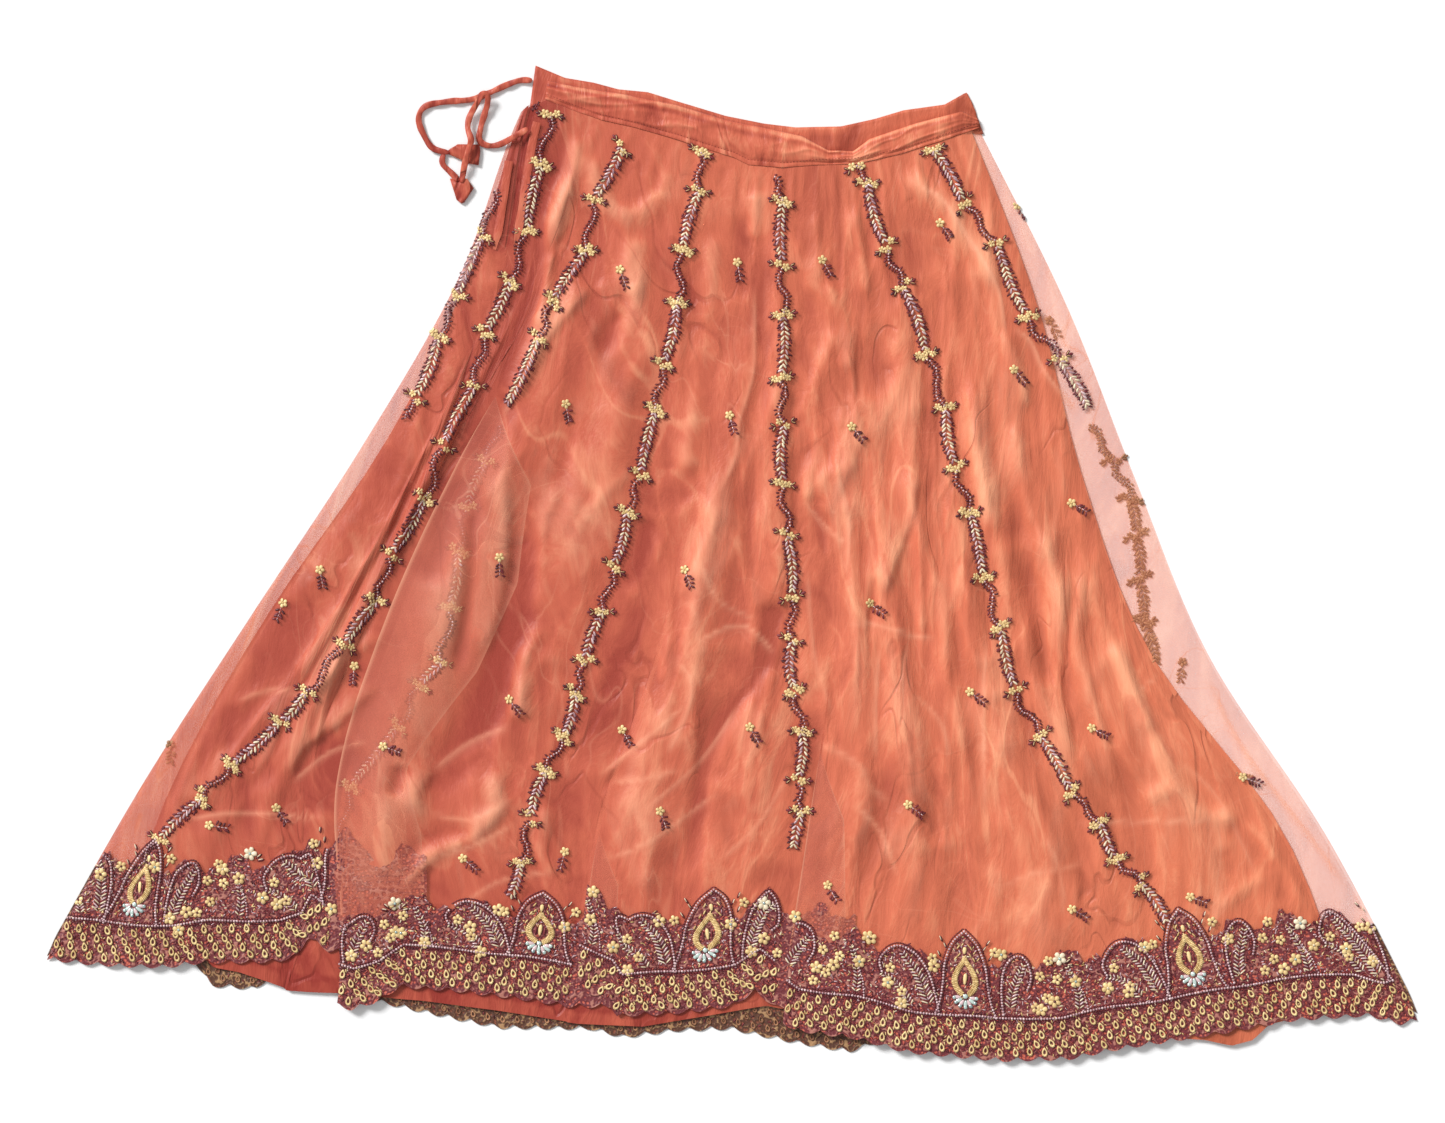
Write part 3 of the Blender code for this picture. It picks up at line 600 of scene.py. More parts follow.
@dataclass(frozen=True)
class Crumple:
    """Irregular wrinkles with sharp crests, longer along the skirt than across it."""

    seed: int
    across: float
    along: float
    height: float

    def ridge(self, u: Array, v: Array) -> Array:
        """How near the cloth is to a crest, from -1 to 1, at its own coordinates."""
        a, b = u / self.across, v / self.along
        drift = 0.55 * lattice(a * 0.6, b * 0.6, self.seed + 50)
        return 1.0 - np.minimum(3.2 * np.abs(lattice(a + drift, b - drift, self.seed)), 2.0)

    def at(self, u: Array, v: Array) -> Array:
        """Height of the wrinkles at the cloth's own coordinates."""
        return self.height * self.ridge(u, v)


@dataclass
class Drapery:
    """Heights of the laid cloth: the satin's folds and creases, and the net that rides on them."""

    lining_level: float = 3.9
    net_lift: float = 1.9
    side_level: float = 2.7
    edge_level: float = 1.0
    fold_scale: float = 0.85
    crease_scale: float = 1.35
    small_creases: int = 150
    silk: tuple[Crumple, ...] = (Crumple(1, 44, 170, 1.5), Crumple(2, 20, 80, 0.75), Crumple(3, 52, 60, 1.1))
    tulle: tuple[Crumple, ...] = (Crumple(11, 34, 150, 0.55), Crumple(12, 60, 48, 0.6))
    satin: list[Crease] = field(default_factory=list)
    net: list[Crease] = field(default_factory=list)

    def __post_init__(self) -> None:
        """Gather the creases, those listed in the tables and the small ones of crumpled silk."""
        self.satin = [Crease(*row) for row in SATIN_CREASES]
        self.net = [Crease(*row) for row in NET_CREASES]
        fan = Fan()
        chance = np.random.default_rng(SEED)
        for _ in range(self.small_creases):
            column = chance.uniform(LINING_LEFT + 30, LINING_RIGHT - 30)
            share = chance.uniform(0.08, 0.84)
            reach = chance.uniform(0.03, 0.08)
            drift = chance.uniform(-22, 22)
            steps = np.array([-1.0, 0.0, 1.0])
            x, y = fan.at(column + drift * steps, share + reach * steps)
            x[1] += chance.uniform(-5, 5)
            width, height = chance.uniform(4.5, 9.0), chance.uniform(-1.3, 1.5)
            points = tuple((float(a), float(b)) for a, b in zip(x, y))
            self.satin.append(Crease(width, height, chance.uniform(-0.3, 0.3), points))

    def folds(self, column: Array, share: Array) -> Array:
        """Height of the long folds at points of the fan."""
        inner = smoothstep(LINING_LEFT, LINING_LEFT + 60.0, column)
        inner = inner * (1.0 - smoothstep(LINING_RIGHT - 60.0, LINING_RIGHT, column))
        height = np.zeros_like(column)
        for hem_x, half_width, full, begin, whole, end in FOLDS:
            along = smoothstep(begin, whole, share) * (1.0 - 0.75 * smoothstep(whole, end, share))
            height = height + full * along * bump(column - hem_x, half_width)
        return height * inner * (1.0 - 0.45 * smoothstep(0.80, 0.92, share)) * self.fold_scale

    def gathers(self, column: Array, share: Array) -> Array:
        """Height of the small gathers below the waistband."""
        wave = np.sin(column / 9.5) + 0.7 * np.sin(column / 5.3 + 1.0) + 0.6 * np.sin(column / 17.0 + 2.0)
        return 0.75 * wave * np.exp(-share / 0.10) * smoothstep(0.0, 0.02, share)

    def crumpled(self, crumples: Iterable[Crumple], column: Array, share: Array) -> Array:
        """Summed height of irregular wrinkles at points of the fan."""
        u, v = own_place(column, share)
        calm = smoothstep(0.01, 0.10, share) * (1.0 - 0.55 * smoothstep(0.82, 0.90, share))
        return sum(crumple.at(u, v) for crumple in crumples) * calm

    def relief(self, creases: Iterable[Crease], x: Array, y: Array) -> Array:
        """Summed height of creases at plan points."""
        total = np.zeros_like(x)
        for crease in creases:
            total += self.crease_scale * crease.height * crease.profile(x, y)
        return total

    def crest(self, column: Array, share: Array, x: Array, y: Array) -> Array:
        """How near a crest the satin is, 0 in its deep troughs and 1 on its ridges: painted light and shade,
        darker in troughs and lighter on ridges, with painted shade in the open slit.
        """
        worn = self.relief(self.satin, x, y) + 0.8 * self.crumpled(self.silk, column, share)
        folds = self.folds(column, share) + self.gathers(column, share)
        # Painted shade in the open slit below the waist.
        slit = peak((column - SLIT) * flare(share), 17.0) * (1.0 - smoothstep(0.13, 0.18, share))
        return np.clip(0.47 + 0.048 * worn + 0.022 * (folds - 3.4) - 1.5 * slit, 0.0, 1.0)

    def lining(self, column: Array, share: Array, x: Array, y: Array) -> Array:
        """Height of the front satin."""
        height = self.folds(column, share) + self.gathers(column, share)
        height = height + self.relief(self.satin, x, y) + self.crumpled(self.silk, column, share)
        calm = 1.0 - 0.5 * smoothstep(0.84, 0.90, share)
        inside = np.minimum(column - LINING_LEFT, LINING_RIGHT - column) * flare(share)
        height = self.lining_level + soft_floor(height * calm, -1.6)
        edge = smoothstep(-1.0, 13.0, inside)
        return 2.3 + (height - 2.3) * edge

    def net_base(self, column: Array, share: Array, x: Array, y: Array) -> Array:
        """Height of the net where it lies in one layer."""
        smooth = self.folds(column, share) + 0.8 * self.gathers(column, share)
        worn = self.relief(self.satin, x, y) + self.crumpled(self.silk, column, share)
        smooth = smooth + 0.72 * worn + self.relief(self.net, x, y) + self.crumpled(self.tulle, column, share)
        below = self.folds(column, share) + self.gathers(column, share) + worn + 0.9 - self.net_lift
        smooth = np.logaddexp(smooth / 0.5, below / 0.5) * 0.5
        inside = np.minimum(column - LINING_LEFT, LINING_RIGHT - column) * flare(share)
        on_satin = smoothstep(-9.0, 8.0, inside)
        high = self.lining_level + self.net_lift + soft_floor(smooth, -1.2)
        level = self.side_level + (high - self.side_level) * on_satin
        rim = np.minimum(column - NET_LEFT, NET_RIGHT - column) * flare(share)
        return self.edge_level + (level - self.edge_level) * smoothstep(-0.5, 7.0, rim)

    def paleness(self, x: Array, y: Array) -> Array:
        """How much denser the net looks along its own creases, from 0 to 1."""
        total = np.zeros_like(x)
        for crease in self.net:
            total = np.maximum(total, 1.5 * crease.skew * crease.profile(x, y))
        return total


@dataclass(frozen=True)
class Flap:
    """A fold of the net that lies over itself: its folded edge and how far the layers reach under it."""

    edge: float
    under: float
    reach: tuple[tuple[float, float], ...]

    def inner(self, share: Array) -> Array:
        """Column where the hidden layers end, at shares of the way down."""
        return self.edge + line_at(self.reach, share)


FLAP_A_REACH = ((0.33, 0), (0.43, 85), (0.55, 108), (0.66, 100), (0.78, 64), (0.86, 85), (1.0, 90))
FLAPS = (
    Flap(-415.0, -424.0, FLAP_A_REACH),
    Flap(-165.0, -171.0, ((0.80, 0), (0.86, 30), (1.0, 40))),
    Flap(53.0, 45.0, ((0.70, 0), (0.78, 45), (1.0, 70))),
)


class Thread(Enum):
    """Kinds of thread, bead and sequin in the embroidery."""

    GOLD = 0
    PALE = 1
    SILVER = 2
    MAROON = 3
    RED = 4
    SEQUIN = 5
    BROWN = 6


class Form(Enum):
    """Shapes of single stitches and beads."""

    BEAD = "bead"
    SEED = "seed"
    PETAL = "petal"
    LOOP = "loop"
    DISC = "disc"


# Painted shade falls over the left side of the satin and net between these two places.
SHADED_SIDE = (0.06, -0.50)  # metres across the skirt where the left darkens, none to full
WARM_SIDE = (-0.15, 0.50)  # the same for the warmer right


class Look:
    """A material under construction: its node tree and its shader."""

    def __init__(self, name: str, colour: Sequence[float]) -> None:
        """Start a material of a plain colour."""
        self.material = bpy.data.materials.new(name)
        self.material.use_nodes = True
        self.tree = self.material.node_tree
        self.shader = self.tree.nodes["Principled BSDF"]
        self.shader.inputs["Base Color"].default_value = (*colour, 1.0)

    def add(self, kind: str, **settings: object) -> bpy.types.Node:
        """A new node of a kind, with its settings."""
        node = self.tree.nodes.new(kind)
        for name, value in settings.items():
            setattr(node, name, value)
        return node

    def join(self, source: Socket, target: Socket) -> None:
        """Link two sockets."""
        self.tree.links.new(source, target)

    def constant(self, **values: float) -> None:
        """Set sockets of the shader that are the same all over the surface."""
        for name, value in values.items():
            self.shader.inputs[name.replace("_", " ")].default_value = value

    def stretched(self, place: Socket, stretch: Sequence[float]) -> Socket:
        """Coordinates times a factor for each axis."""
        mapping = self.add("ShaderNodeMapping")
        mapping.inputs["Scale"].default_value = stretch
        self.join(place, mapping.inputs["Vector"])
        return mapping.outputs["Vector"]

    def cloth_place(self, stretch: Sequence[float] = (1.0, 1.0, 1.0)) -> Socket:
        """The cloth's own coordinates in metres, stretched."""
        return self.stretched(self.add("ShaderNodeUVMap", uv_map="cloth").outputs["UV"], stretch)

    def object_place(self, stretch: Sequence[float] = (1.0, 1.0, 1.0)) -> Socket:
        """The place in the skirt in metres, stretched."""
        return self.stretched(self.add("ShaderNodeTexCoord").outputs["Object"], stretch)

    def noise(
        self, place: Socket, scale: float, detail: float, rough: float = 0.5, bend: float = 0.0
    ) -> Socket:
        """A cloudy pattern of a scale for each metre."""
        node = self.add("ShaderNodeTexNoise")
        for name, value in (("Distortion", bend), ("Scale", scale), ("Detail", detail), ("Roughness", rough)):
            node.inputs[name].default_value = value
        self.join(place, node.inputs["Vector"])
        return node.outputs["Fac"]

    def ramp(self, source: Socket, stops: Sequence[tuple[float, Colour]]) -> Socket:
        """Colours along a value.

        Args:
            source: the value, from 0 to 1.
            stops: place and colour of each stop.

        Returns:
            The colour socket.
        """
        node = self.add("ShaderNodeValToRGB")
        elements = node.color_ramp.elements
        while len(elements) < len(stops):
            elements.new(0.5)
        for element, (place, colour) in zip(elements, stops):
            element.position = place
            element.color = (*colour, 1.0)
        self.join(source, node.inputs["Fac"])
        return node.outputs["Color"]

    def maths(self, operation: str, first: Socket, second: Socket | float) -> Socket:
        """Two values put together."""
        node = self.add("ShaderNodeMath", operation=operation)
        self.join(first, node.inputs[0])
        if isinstance(second, (int, float)):
            node.inputs[1].default_value = second
        else:
            self.join(second, node.inputs[1])
        return node.outputs["Value"]

    def total(self, *terms: tuple[Socket, float]) -> Socket:
        """The sum of values, each times a factor."""
        summed = None
        for source, factor in terms:
            part = source if factor == 1.0 else self.maths("MULTIPLY", source, factor)
            summed = part if summed is None else self.maths("ADD", summed, part)
        return summed

    def mix(self, blend: str, factor: Socket, first: Socket, second: Colour) -> Socket:
        """Two colours put together.

        Args:
            blend: the way of blending.
            factor: share of the second colour.
            first: the first colour.
            second: the second colour.

        Returns:
            The colour socket.
        """
        node = self.add("ShaderNodeMix", data_type="RGBA", blend_type=blend)
        self.join(factor, node.inputs[0])
        self.join(first, node.inputs[6])
        node.inputs[7].default_value = (*second, 1.0)
        return node.outputs[2]

    def tinted(self, base: Socket, place: Socket, share: float, colour: Colour) -> Socket:
        """A colour with a share of another where a value is 1."""
        return self.mix("MIX", self.maths("MULTIPLY", place, share), base, colour)

    def hairlines(self, place: Socket, scale: float, width: float) -> Socket:
        """Long loose crease lines, 1 on the line and 0 beside it, broken up by chance.

        Args:
            place: coordinates.
            scale: of the pattern for each metre.
            width: of the lines, as a difference of height between the pattern's hills.

        Returns:
            The value socket.
        """
        hills = self.noise(place, scale, 1.5, 0.45, 0.9)
        away = self.maths("ABSOLUTE", self.maths("SUBTRACT", hills, 0.5), 0.0)
        line = self.maths("SUBTRACT", away, width)
        shown = self.maths("SUBTRACT", self.noise(place, scale * 0.45, 1.0), 0.50)
        thin = self.maths("MULTIPLY", line, -1.0 / width)
        fall = self.maths("MULTIPLY", thin, self.maths("MULTIPLY", shown, 9.0))
        node = self.add("ShaderNodeClamp")
        self.join(self.maths("MINIMUM", fall, self.maths("MULTIPLY", line, -60.0)), node.inputs["Value"])
        return node.outputs["Result"]

    def eastward(self, west: float, east: float) -> Socket:
        """A value that rises from 0 to 1 between two places across the skirt, in metres."""
        apart = self.add("ShaderNodeSeparateXYZ")
        self.join(self.object_place(), apart.inputs[0])
        node = self.add("ShaderNodeMapRange")
        node.inputs["From Min"].default_value = west
        node.inputs["From Max"].default_value = east
        self.join(apart.outputs["X"], node.inputs["Value"])
        return node.outputs["Result"]

    def attribute(self, name: str) -> Socket:
        """A float attribute of the mesh."""
        return self.add("ShaderNodeAttribute", attribute_name=name).outputs["Fac"]

    def colour(self, socket: Socket) -> None:
        """Give the shader its base colour."""
        self.join(socket, self.shader.inputs["Base Color"])

    def relief(self, socket: Socket, depth: float, strength: float = 1.0) -> None:
        """Give the surface a fine relief of a depth in metres, on top of the one it has."""
        node = self.add("ShaderNodeBump")
        node.inputs["Strength"].default_value = strength
        node.inputs["Distance"].default_value = depth
        self.join(socket, node.inputs["Height"])
        target = self.shader.inputs["Normal"]
        if target.is_linked:
            self.join(target.links[0].from_socket, node.inputs["Normal"])
        self.join(node.outputs["Normal"], target)


@dataclass(frozen=True)
class SatinFinish:
    """Coral satin with a fine crumpled relief and painted light and shade in its colour: streaky sheen, crisp
    highlights, light and dark crease lines, darker troughs, lighter ridges and painted shade on the left;
    warmer towards the right.
    """

    name: str = "coral_satin"
    # dark is the painted shade of troughs, dark crease lines and the left side; light is the painted
    # highlight of ridges, crisp highlights and sheen streaks.
    dark: Colour = (0.29, 0.036, 0.025)
    middle: Colour = (0.57, 0.122, 0.070)
    light: Colour = (0.83, 0.335, 0.190)
    warm: Colour = (0.82, 0.275, 0.115)

    def make(self) -> Material:
        """The satin's material."""
        look = Look(self.name, self.middle)
        along = look.cloth_place((1.0, 0.30, 1.0))
        streaks = look.noise(along, 17.0, 3.0, 0.55, 0.8)
        rumpled = look.noise(along, 52.0, 4.5, 0.70, 0.5)
        creases = look.hairlines(along, 17.0, 0.030)
        dents = look.hairlines(look.cloth_place((1.0, 0.45, 1.0)), 21.0, 0.034)
        sharp = look.maths("ABSOLUTE", look.maths("SUBTRACT", streaks, 0.5), 0.0)
        # Painted light and shade: crisp highlights and sheen streaks, crumples, light crease lines and dark
        # dents, and the crest value, dark in troughs and light on ridges.
        blended = look.total(
            (streaks, 0.36), (rumpled, 0.34), (creases, 0.07), (dents, -0.085), (sharp, -0.45),
            (look.attribute("crest"), 0.31),
        )
        base = look.ramp(blended, ((0.32, self.dark), (0.48, self.middle), (0.61, self.light)))
        # Painted shade over the left side.
        base = look.tinted(base, look.eastward(*SHADED_SIDE), 0.42, self.dark)
        look.colour(look.tinted(base, look.eastward(*WARM_SIDE), 0.28, self.warm))
        look.relief(look.total((rumpled, 1.0), (sharp, -1.6), (dents, -0.40)), 0.0034, 0.8)
        look.constant(Roughness=0.44, Specular_IOR_Level=0.22, Sheen_Weight=0.06, Sheen_Roughness=0.4)
        return look.material


@dataclass(frozen=True)
class NetFinish:
    """Sheer coral net, denser where it is folded or creased and a little denser towards the left; its colour
    has painted shade over the satin's troughs and on the left, and painted light over the satin's ridges.
    """

    name: str = "coral_net"
    # shade is the painted shade over the satin's troughs and on the left; pale is the painted light over its
    # ridges, and the look of doubled net along folds and creases.
    shade: Colour = (0.44, 0.085, 0.052)
    thread: Colour = (0.68, 0.175, 0.090)
    pale: Colour = (0.90, 0.42, 0.26)
    warm: Colour = (0.86, 0.310, 0.150)
    layered: Colour = (0.40, 0.102, 0.066)
    cover: float = 0.33
    dense: float = 0.48
    hole: float = 0.0013

    def make(self) -> Material:
        """The net's material, with its holes as part transparency."""
        look = Look(self.name, self.thread)
        long_lines = look.hairlines(look.cloth_place((1.0, 0.22, 1.0)), 30.0, 0.016)
        cross_lines = look.hairlines(look.object_place((0.8, 1.0, 0.0)), 15.0, 0.012)
        double = look.total((look.attribute("double"), 1.0), (long_lines, 0.40), (cross_lines, 0.34))
        tint = look.noise(look.cloth_place((1.0, 0.35, 1.0)), 24.0, 3.0, 0.65, 0.7)
        # Painted light and shade: the crest value darkens the net over the satin's troughs and lightens it
        # over the ridges.
        blended = look.total((tint, 0.5), (look.attribute("crest"), 0.5))
        base = look.ramp(blended, ((0.36, self.shade), (0.49, self.thread), (0.64, self.pale)))
        east, turned = look.eastward(*WARM_SIDE), look.attribute("turned")
        base = look.tinted(base, east, 0.25, self.warm)
        # Painted shade over the left side.
        base = look.tinted(base, look.eastward(*SHADED_SIDE), 0.42, self.shade)
        base = look.tinted(base, turned, 0.85, self.layered)
        look.colour(look.tinted(base, double, 0.6, self.pale))
        threads = look.maths("SUBTRACT", look.noise(look.cloth_place(), 1.0 / self.hole, 0.0), 0.5)
        far_left = look.eastward(-0.40, -0.58)
        cover = look.total(
            (double, self.dense), (east, -0.09), (turned, 0.20), (far_left, 0.22), (threads, 0.20)
        )
        look.join(look.maths("ADD", cover, self.cover), look.shader.inputs["Alpha"])
        look.relief(tint, 0.0022, 0.6)
        look.constant(Roughness=0.60, Specular_IOR_Level=0.25, Sheen_Weight=0.08, Sheen_Roughness=0.5)
        return look.material


@dataclass(frozen=True)
class BorderFinish:
    """Ground of the border: rows of dark thread scales with red showing between them."""

    name: str
    ground: Colour = (0.56, 0.115, 0.070)
    thread: Colour = (0.150, 0.020, 0.026)
    glint: Colour = (0.42, 0.16, 0.12)
    scale: float = 0.0042
    cover: float = 0.50

    def make(self) -> Material:
        """The border ground's material."""
        look = Look(self.name, self.thread)
        cells = look.add("ShaderNodeTexVoronoi", feature="F1")
        cells.inputs["Scale"].default_value = 1.0 / self.scale
        look.join(look.cloth_place((1.0, 1.25, 1.0)), cells.inputs["Vector"])
        patches = look.noise(look.cloth_place(), 34.0, 3.0, 0.6)
        spread = look.maths("ADD", cells.outputs["Distance"], look.maths("SUBTRACT", patches, self.cover))
        stops = ((0.16, self.ground), (0.34, self.thread), (0.62, self.thread), (0.80, self.glint))
        look.colour(look.ramp(spread, stops))
        look.relief(cells.outputs["Distance"], 0.0012, 0.8)
        look.constant(Roughness=0.52)
        return look.material


@dataclass(frozen=True)
class ThreadFinish:
    """A thread, bead or sequin, darker or lighter from one stitch to the next."""

    name: str
    dark: Colour
    light: Colour
    roughness: float = 0.4
    metallic: float = 0.0

    def make(self) -> Material:
        """The thread's material."""
        look = Look(self.name, self.light)
        shade = look.ramp(look.attribute("tone"), ((0.0, self.dark), (1.0, self.light)))
        strands = look.noise(look.object_place(), 1400.0, 1.0)
        look.colour(look.mix("MULTIPLY", look.maths("MULTIPLY", strands, 0.5), shade, self.dark))
        look.relief(strands, 0.0003, 0.5)
        look.constant(Roughness=self.roughness, Metallic=self.metallic)
        return look.material


@dataclass(frozen=True)
class FloorFinish:
    """A plain pale studio floor."""

    name: str = "studio_floor"
    colour: Colour = (0.90, 0.90, 0.90)

    def make(self) -> Material:
        """The floor's material."""
        look = Look(self.name, self.colour)
        shade = look.noise(look.object_place(), 0.8, 1.0)
        near = tuple(value * 0.985 for value in self.colour)
        look.colour(look.ramp(shade, ((0.3, near), (0.7, self.colour))))
        look.constant(Roughness=0.9)
        return look.material


THREADS = {
    Thread.GOLD: ThreadFinish("gold_thread", (0.52, 0.32, 0.11), (0.98, 0.78, 0.40), 0.42, 0.05),
    Thread.PALE: ThreadFinish("pale_gold_thread", (0.60, 0.47, 0.32), (0.98, 0.88, 0.66), 0.40, 0.05),
    Thread.SILVER: ThreadFinish("silver_beads", (0.36, 0.17, 0.20), (0.90, 0.70, 0.70), 0.28, 0.15),
    Thread.MAROON: ThreadFinish("maroon_thread", (0.060, 0.007, 0.012), (0.26, 0.030, 0.040), 0.45, 0.0),
    Thread.RED: ThreadFinish("red_thread", (0.28, 0.03, 0.03), (0.62, 0.13, 0.08), 0.45, 0.0),
    Thread.SEQUIN: ThreadFinish("sequins", (0.30, 0.38, 0.38), (0.75, 0.90, 0.82), 0.18, 0.30),
    Thread.BROWN: ThreadFinish("reverse_stitches", (0.22, 0.08, 0.035), (0.55, 0.27, 0.13), 0.55, 0.0),
}


Finish = SatinFinish | NetFinish | BorderFinish | ThreadFinish | FloorFinish
SATIN = SatinFinish()
NET = NetFinish()
# The back net is denser than the front; over the floor this also stands in for the net's shadow, as the net
# casts none.
BACK_NET = NetFinish("coral_net_back", cover=0.64)
BORDER = BorderFinish("border_ground")
BORDER_WRONG_SIDE = BorderFinish(
    "border_wrong_side", (0.22, 0.060, 0.028), (0.09, 0.030, 0.014), (0.40, 0.22, 0.10)
)


@cache
def material(finish: Finish) -> Material:
    """The material of a finish, made once."""
    return finish.make()


def new_object(name: str, mesh: Mesh, *finishes: Finish, smooth: bool = True) -> Piece:
    """An object of a mesh in the scene."""
    mesh.name = name
    for finish in finishes:
        mesh.materials.append(material(finish))
    mesh.polygons.foreach_set("use_smooth", np.full(len(mesh.polygons), smooth))
    made = bpy.data.objects.new(name, mesh)
    bpy.context.scene.collection.objects.link(made)
    return made


def new_piece(name: str, mesh: Mesh, slot: str, nodes: Sequence[str], *finishes: Finish) -> Piece:
    """A piece of the skirt.

    Args:
        name: of the piece.
        mesh: its shape.
        slot: not used.
        nodes: solids that it stands for.
        finishes: what it is made of.

    Returns:
        The piece, tied to the skirt.
    """
    piece = new_object(name, mesh, *finishes)
    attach(piece, BODY)
    if nodes:
        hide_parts(*nodes)
    LOG.info("%s: %d triangles", name, sum(len(face.vertices) - 2 for face in mesh.polygons))
    return piece


def cloth_mesh(
    name: str,
    across: Array,
    down: Array,
    place: Placing,
    hole: Callable[[Array, Array], Array] | None = None,
) -> Mesh:
    """A sheet of cloth shaped from a grid.

    Args:
        name: of the mesh.
        across: values of the grid's columns.
        down: values of the grid's rows.
        place: gives x, y, z and the cloth's own two coordinates in millimetres, how dense it is, how near
        a crest it is, which is its painted light and shade, and whether it is a turned layer, from 0 to 1.
        hole: says which cells, by the values at their middles, are left out.

    Returns:
        The mesh, in metres, with its "cloth" UV map and its "double", "crest" and "turned" attributes.
    """
    bm = bmesh.new()
    bmesh.ops.create_grid(bm, x_segments=len(across) - 1, y_segments=len(down) - 1, size=1.0)
    if hole is not None:
        faces = list(bm.faces)
        middles = np.array([face.calc_center_median()[:2] for face in faces])
        u = np.interp((middles[:, 0] + 1) / 2 * (len(across) - 1), range(len(across)), across)
        v = np.interp((1 - middles[:, 1]) / 2 * (len(down) - 1), range(len(down)), down)
        gone = [face for face, out in zip(faces, hole(u, v)) if out]
        bmesh.ops.delete(bm, geom=gone, context="FACES")
    mesh = mesh_of(bm, name)
    flat = np.empty(len(mesh.vertices) * 3)
    mesh.vertices.foreach_get("co", flat)
    flat = flat.reshape(-1, 3)
    columns = across[np.rint((flat[:, 0] + 1) / 2 * (len(across) - 1)).astype(int)]
    rows = down[np.rint((1 - flat[:, 1]) / 2 * (len(down) - 1)).astype(int)]
    x, y, z, u, v, *shares = place(columns, rows)
    mesh.vertices.foreach_set("co", (np.stack([x, y, z], axis=1) * MM).ravel())
    layer = mesh.uv_layers[0] if mesh.uv_layers else mesh.uv_layers.new(name="cloth")
    layer.name = "cloth"
    corner = np.empty(len(mesh.loops), dtype=np.int32)
    mesh.loops.foreach_get("vertex_index", corner)
    layer.data.foreach_set("uv", (np.stack([u, v], axis=1)[corner] * MM).ravel())
    usual = (0.0 * x, 0.5 + 0.0 * x, 0.0 * x)
    for title, values in zip(("double", "crest", "turned"), (*shares, *usual[len(shares):])):
        share = mesh.attributes.new(title, "FLOAT", "POINT")
        share.data.foreach_set("value", np.broadcast_to(values, x.shape).astype(np.float32))
    mesh.update()
    return mesh


def mesh_of(bm: bmesh.types.BMesh, name: str) -> Mesh:
    """A finished mesh; its working copy is freed."""
    mesh = bpy.data.meshes.new(name)
    bm.to_mesh(mesh)
    bm.free()
    return mesh


def joined(name: str, meshes: Sequence[Mesh]) -> Mesh:
    """Several meshes as one."""
    bm = bmesh.new()
    for mesh in meshes:
        bm.from_mesh(mesh)
    whole = mesh_of(bm, name)
    for mesh in meshes:
        bpy.data.meshes.remove(mesh)
    return whole


def thicken(piece: Piece, thickness: float, offset: float = -1.0) -> None:
    """Give a piece of folded cloth its thickness."""
    solid = piece.modifiers.new("folded_cloth", "SOLIDIFY")
    solid.thickness = thickness * MM
    solid.offset = offset


def cloth_area(piece: Piece) -> float:
    """Area of a piece's faces in square metres."""
    return float(sum(face.area for face in piece.data.polygons))


class Ground:
    """The upper side of cloth that is already in place, for what is sewn on it."""

    def __init__(self, pieces: Iterable[Piece | Mesh]) -> None:
        """Gather the faces of the pieces."""
        bm = bmesh.new()
        for piece in pieces:
            bm.from_mesh(piece.data if isinstance(piece, Piece) else piece)
        self.tree = BVHTree.FromBMesh(bm)
        bm.free()

    def at(self, x: float, y: float) -> tuple[float, Vector] | None:
        """Height in metres and upward normal at a plan point in millimetres, or None beside the cloth."""
        place, normal, _, _ = self.tree.ray_cast(Vector((x * MM, y * MM, 1.0)), Vector((0.0, 0.0, -1.0)))
        if place is None:
            return None
        return place.z, (normal if normal.z > 0 else -normal)


def stitch_form(form: Form) -> tuple[Array, Array]:
    """The unit shape of a stitch: 1 long, 1 wide and 1 high.

    Args:
        form: which shape.

    Returns:
        Its vertices and its triangles.
    """
    bm = bmesh.new()
    if form is Form.BEAD:
        bmesh.ops.create_icosphere(bm, subdivisions=1, radius=0.5)
    elif form is Form.SEED:
        bmesh.ops.create_uvsphere(bm, u_segments=4, v_segments=3, radius=0.5)
        bmesh.ops.rotate(bm, verts=bm.verts, matrix=Matrix.Rotation(math.pi / 2, 3, "Y"))
    elif form is Form.PETAL:
        bmesh.ops.create_uvsphere(bm, u_segments=6, v_segments=4, radius=0.5)
        bmesh.ops.rotate(bm, verts=bm.verts, matrix=Matrix.Rotation(math.pi / 2, 3, "Y"))
        for vert in bm.verts:
            vert.co.y *= 1.0 + 0.5 * vert.co.x
    elif form is Form.LOOP:
        section = bmesh.ops.create_circle(bm, segments=4, radius=0.15)["verts"]
        bmesh.ops.rotate(bm, verts=section, matrix=Matrix.Rotation(math.pi / 2, 3, "X"))
        bmesh.ops.translate(bm, verts=section, vec=(0.36, 0.0, 0.15))
        bmesh.ops.spin(
            bm, geom=bm.verts[:] + bm.edges[:], cent=(0, 0, 0), axis=(0, 0, 1),
            angle=2 * math.pi, steps=9, use_merge=True,
        )
        for vert in bm.verts:
            vert.co.y *= 1.0 - 1.1 * max(vert.co.x, 0.0)
            vert.co.x *= 1.15 if vert.co.x > 0 else 1.0
        bmesh.ops.recalc_face_normals(bm, faces=bm.faces)
    else:
        bmesh.ops.create_cone(bm, cap_ends=True, segments=7, radius1=0.5, radius2=0.42, depth=1.0)
    bmesh.ops.triangulate(bm, faces=bm.faces)
    bm.verts.index_update()
    corners = np.array([tuple(vert.co) for vert in bm.verts])
    triangles = np.array([[vert.index for vert in face.verts] for face in bm.faces])
    bm.free()
    return corners, triangles


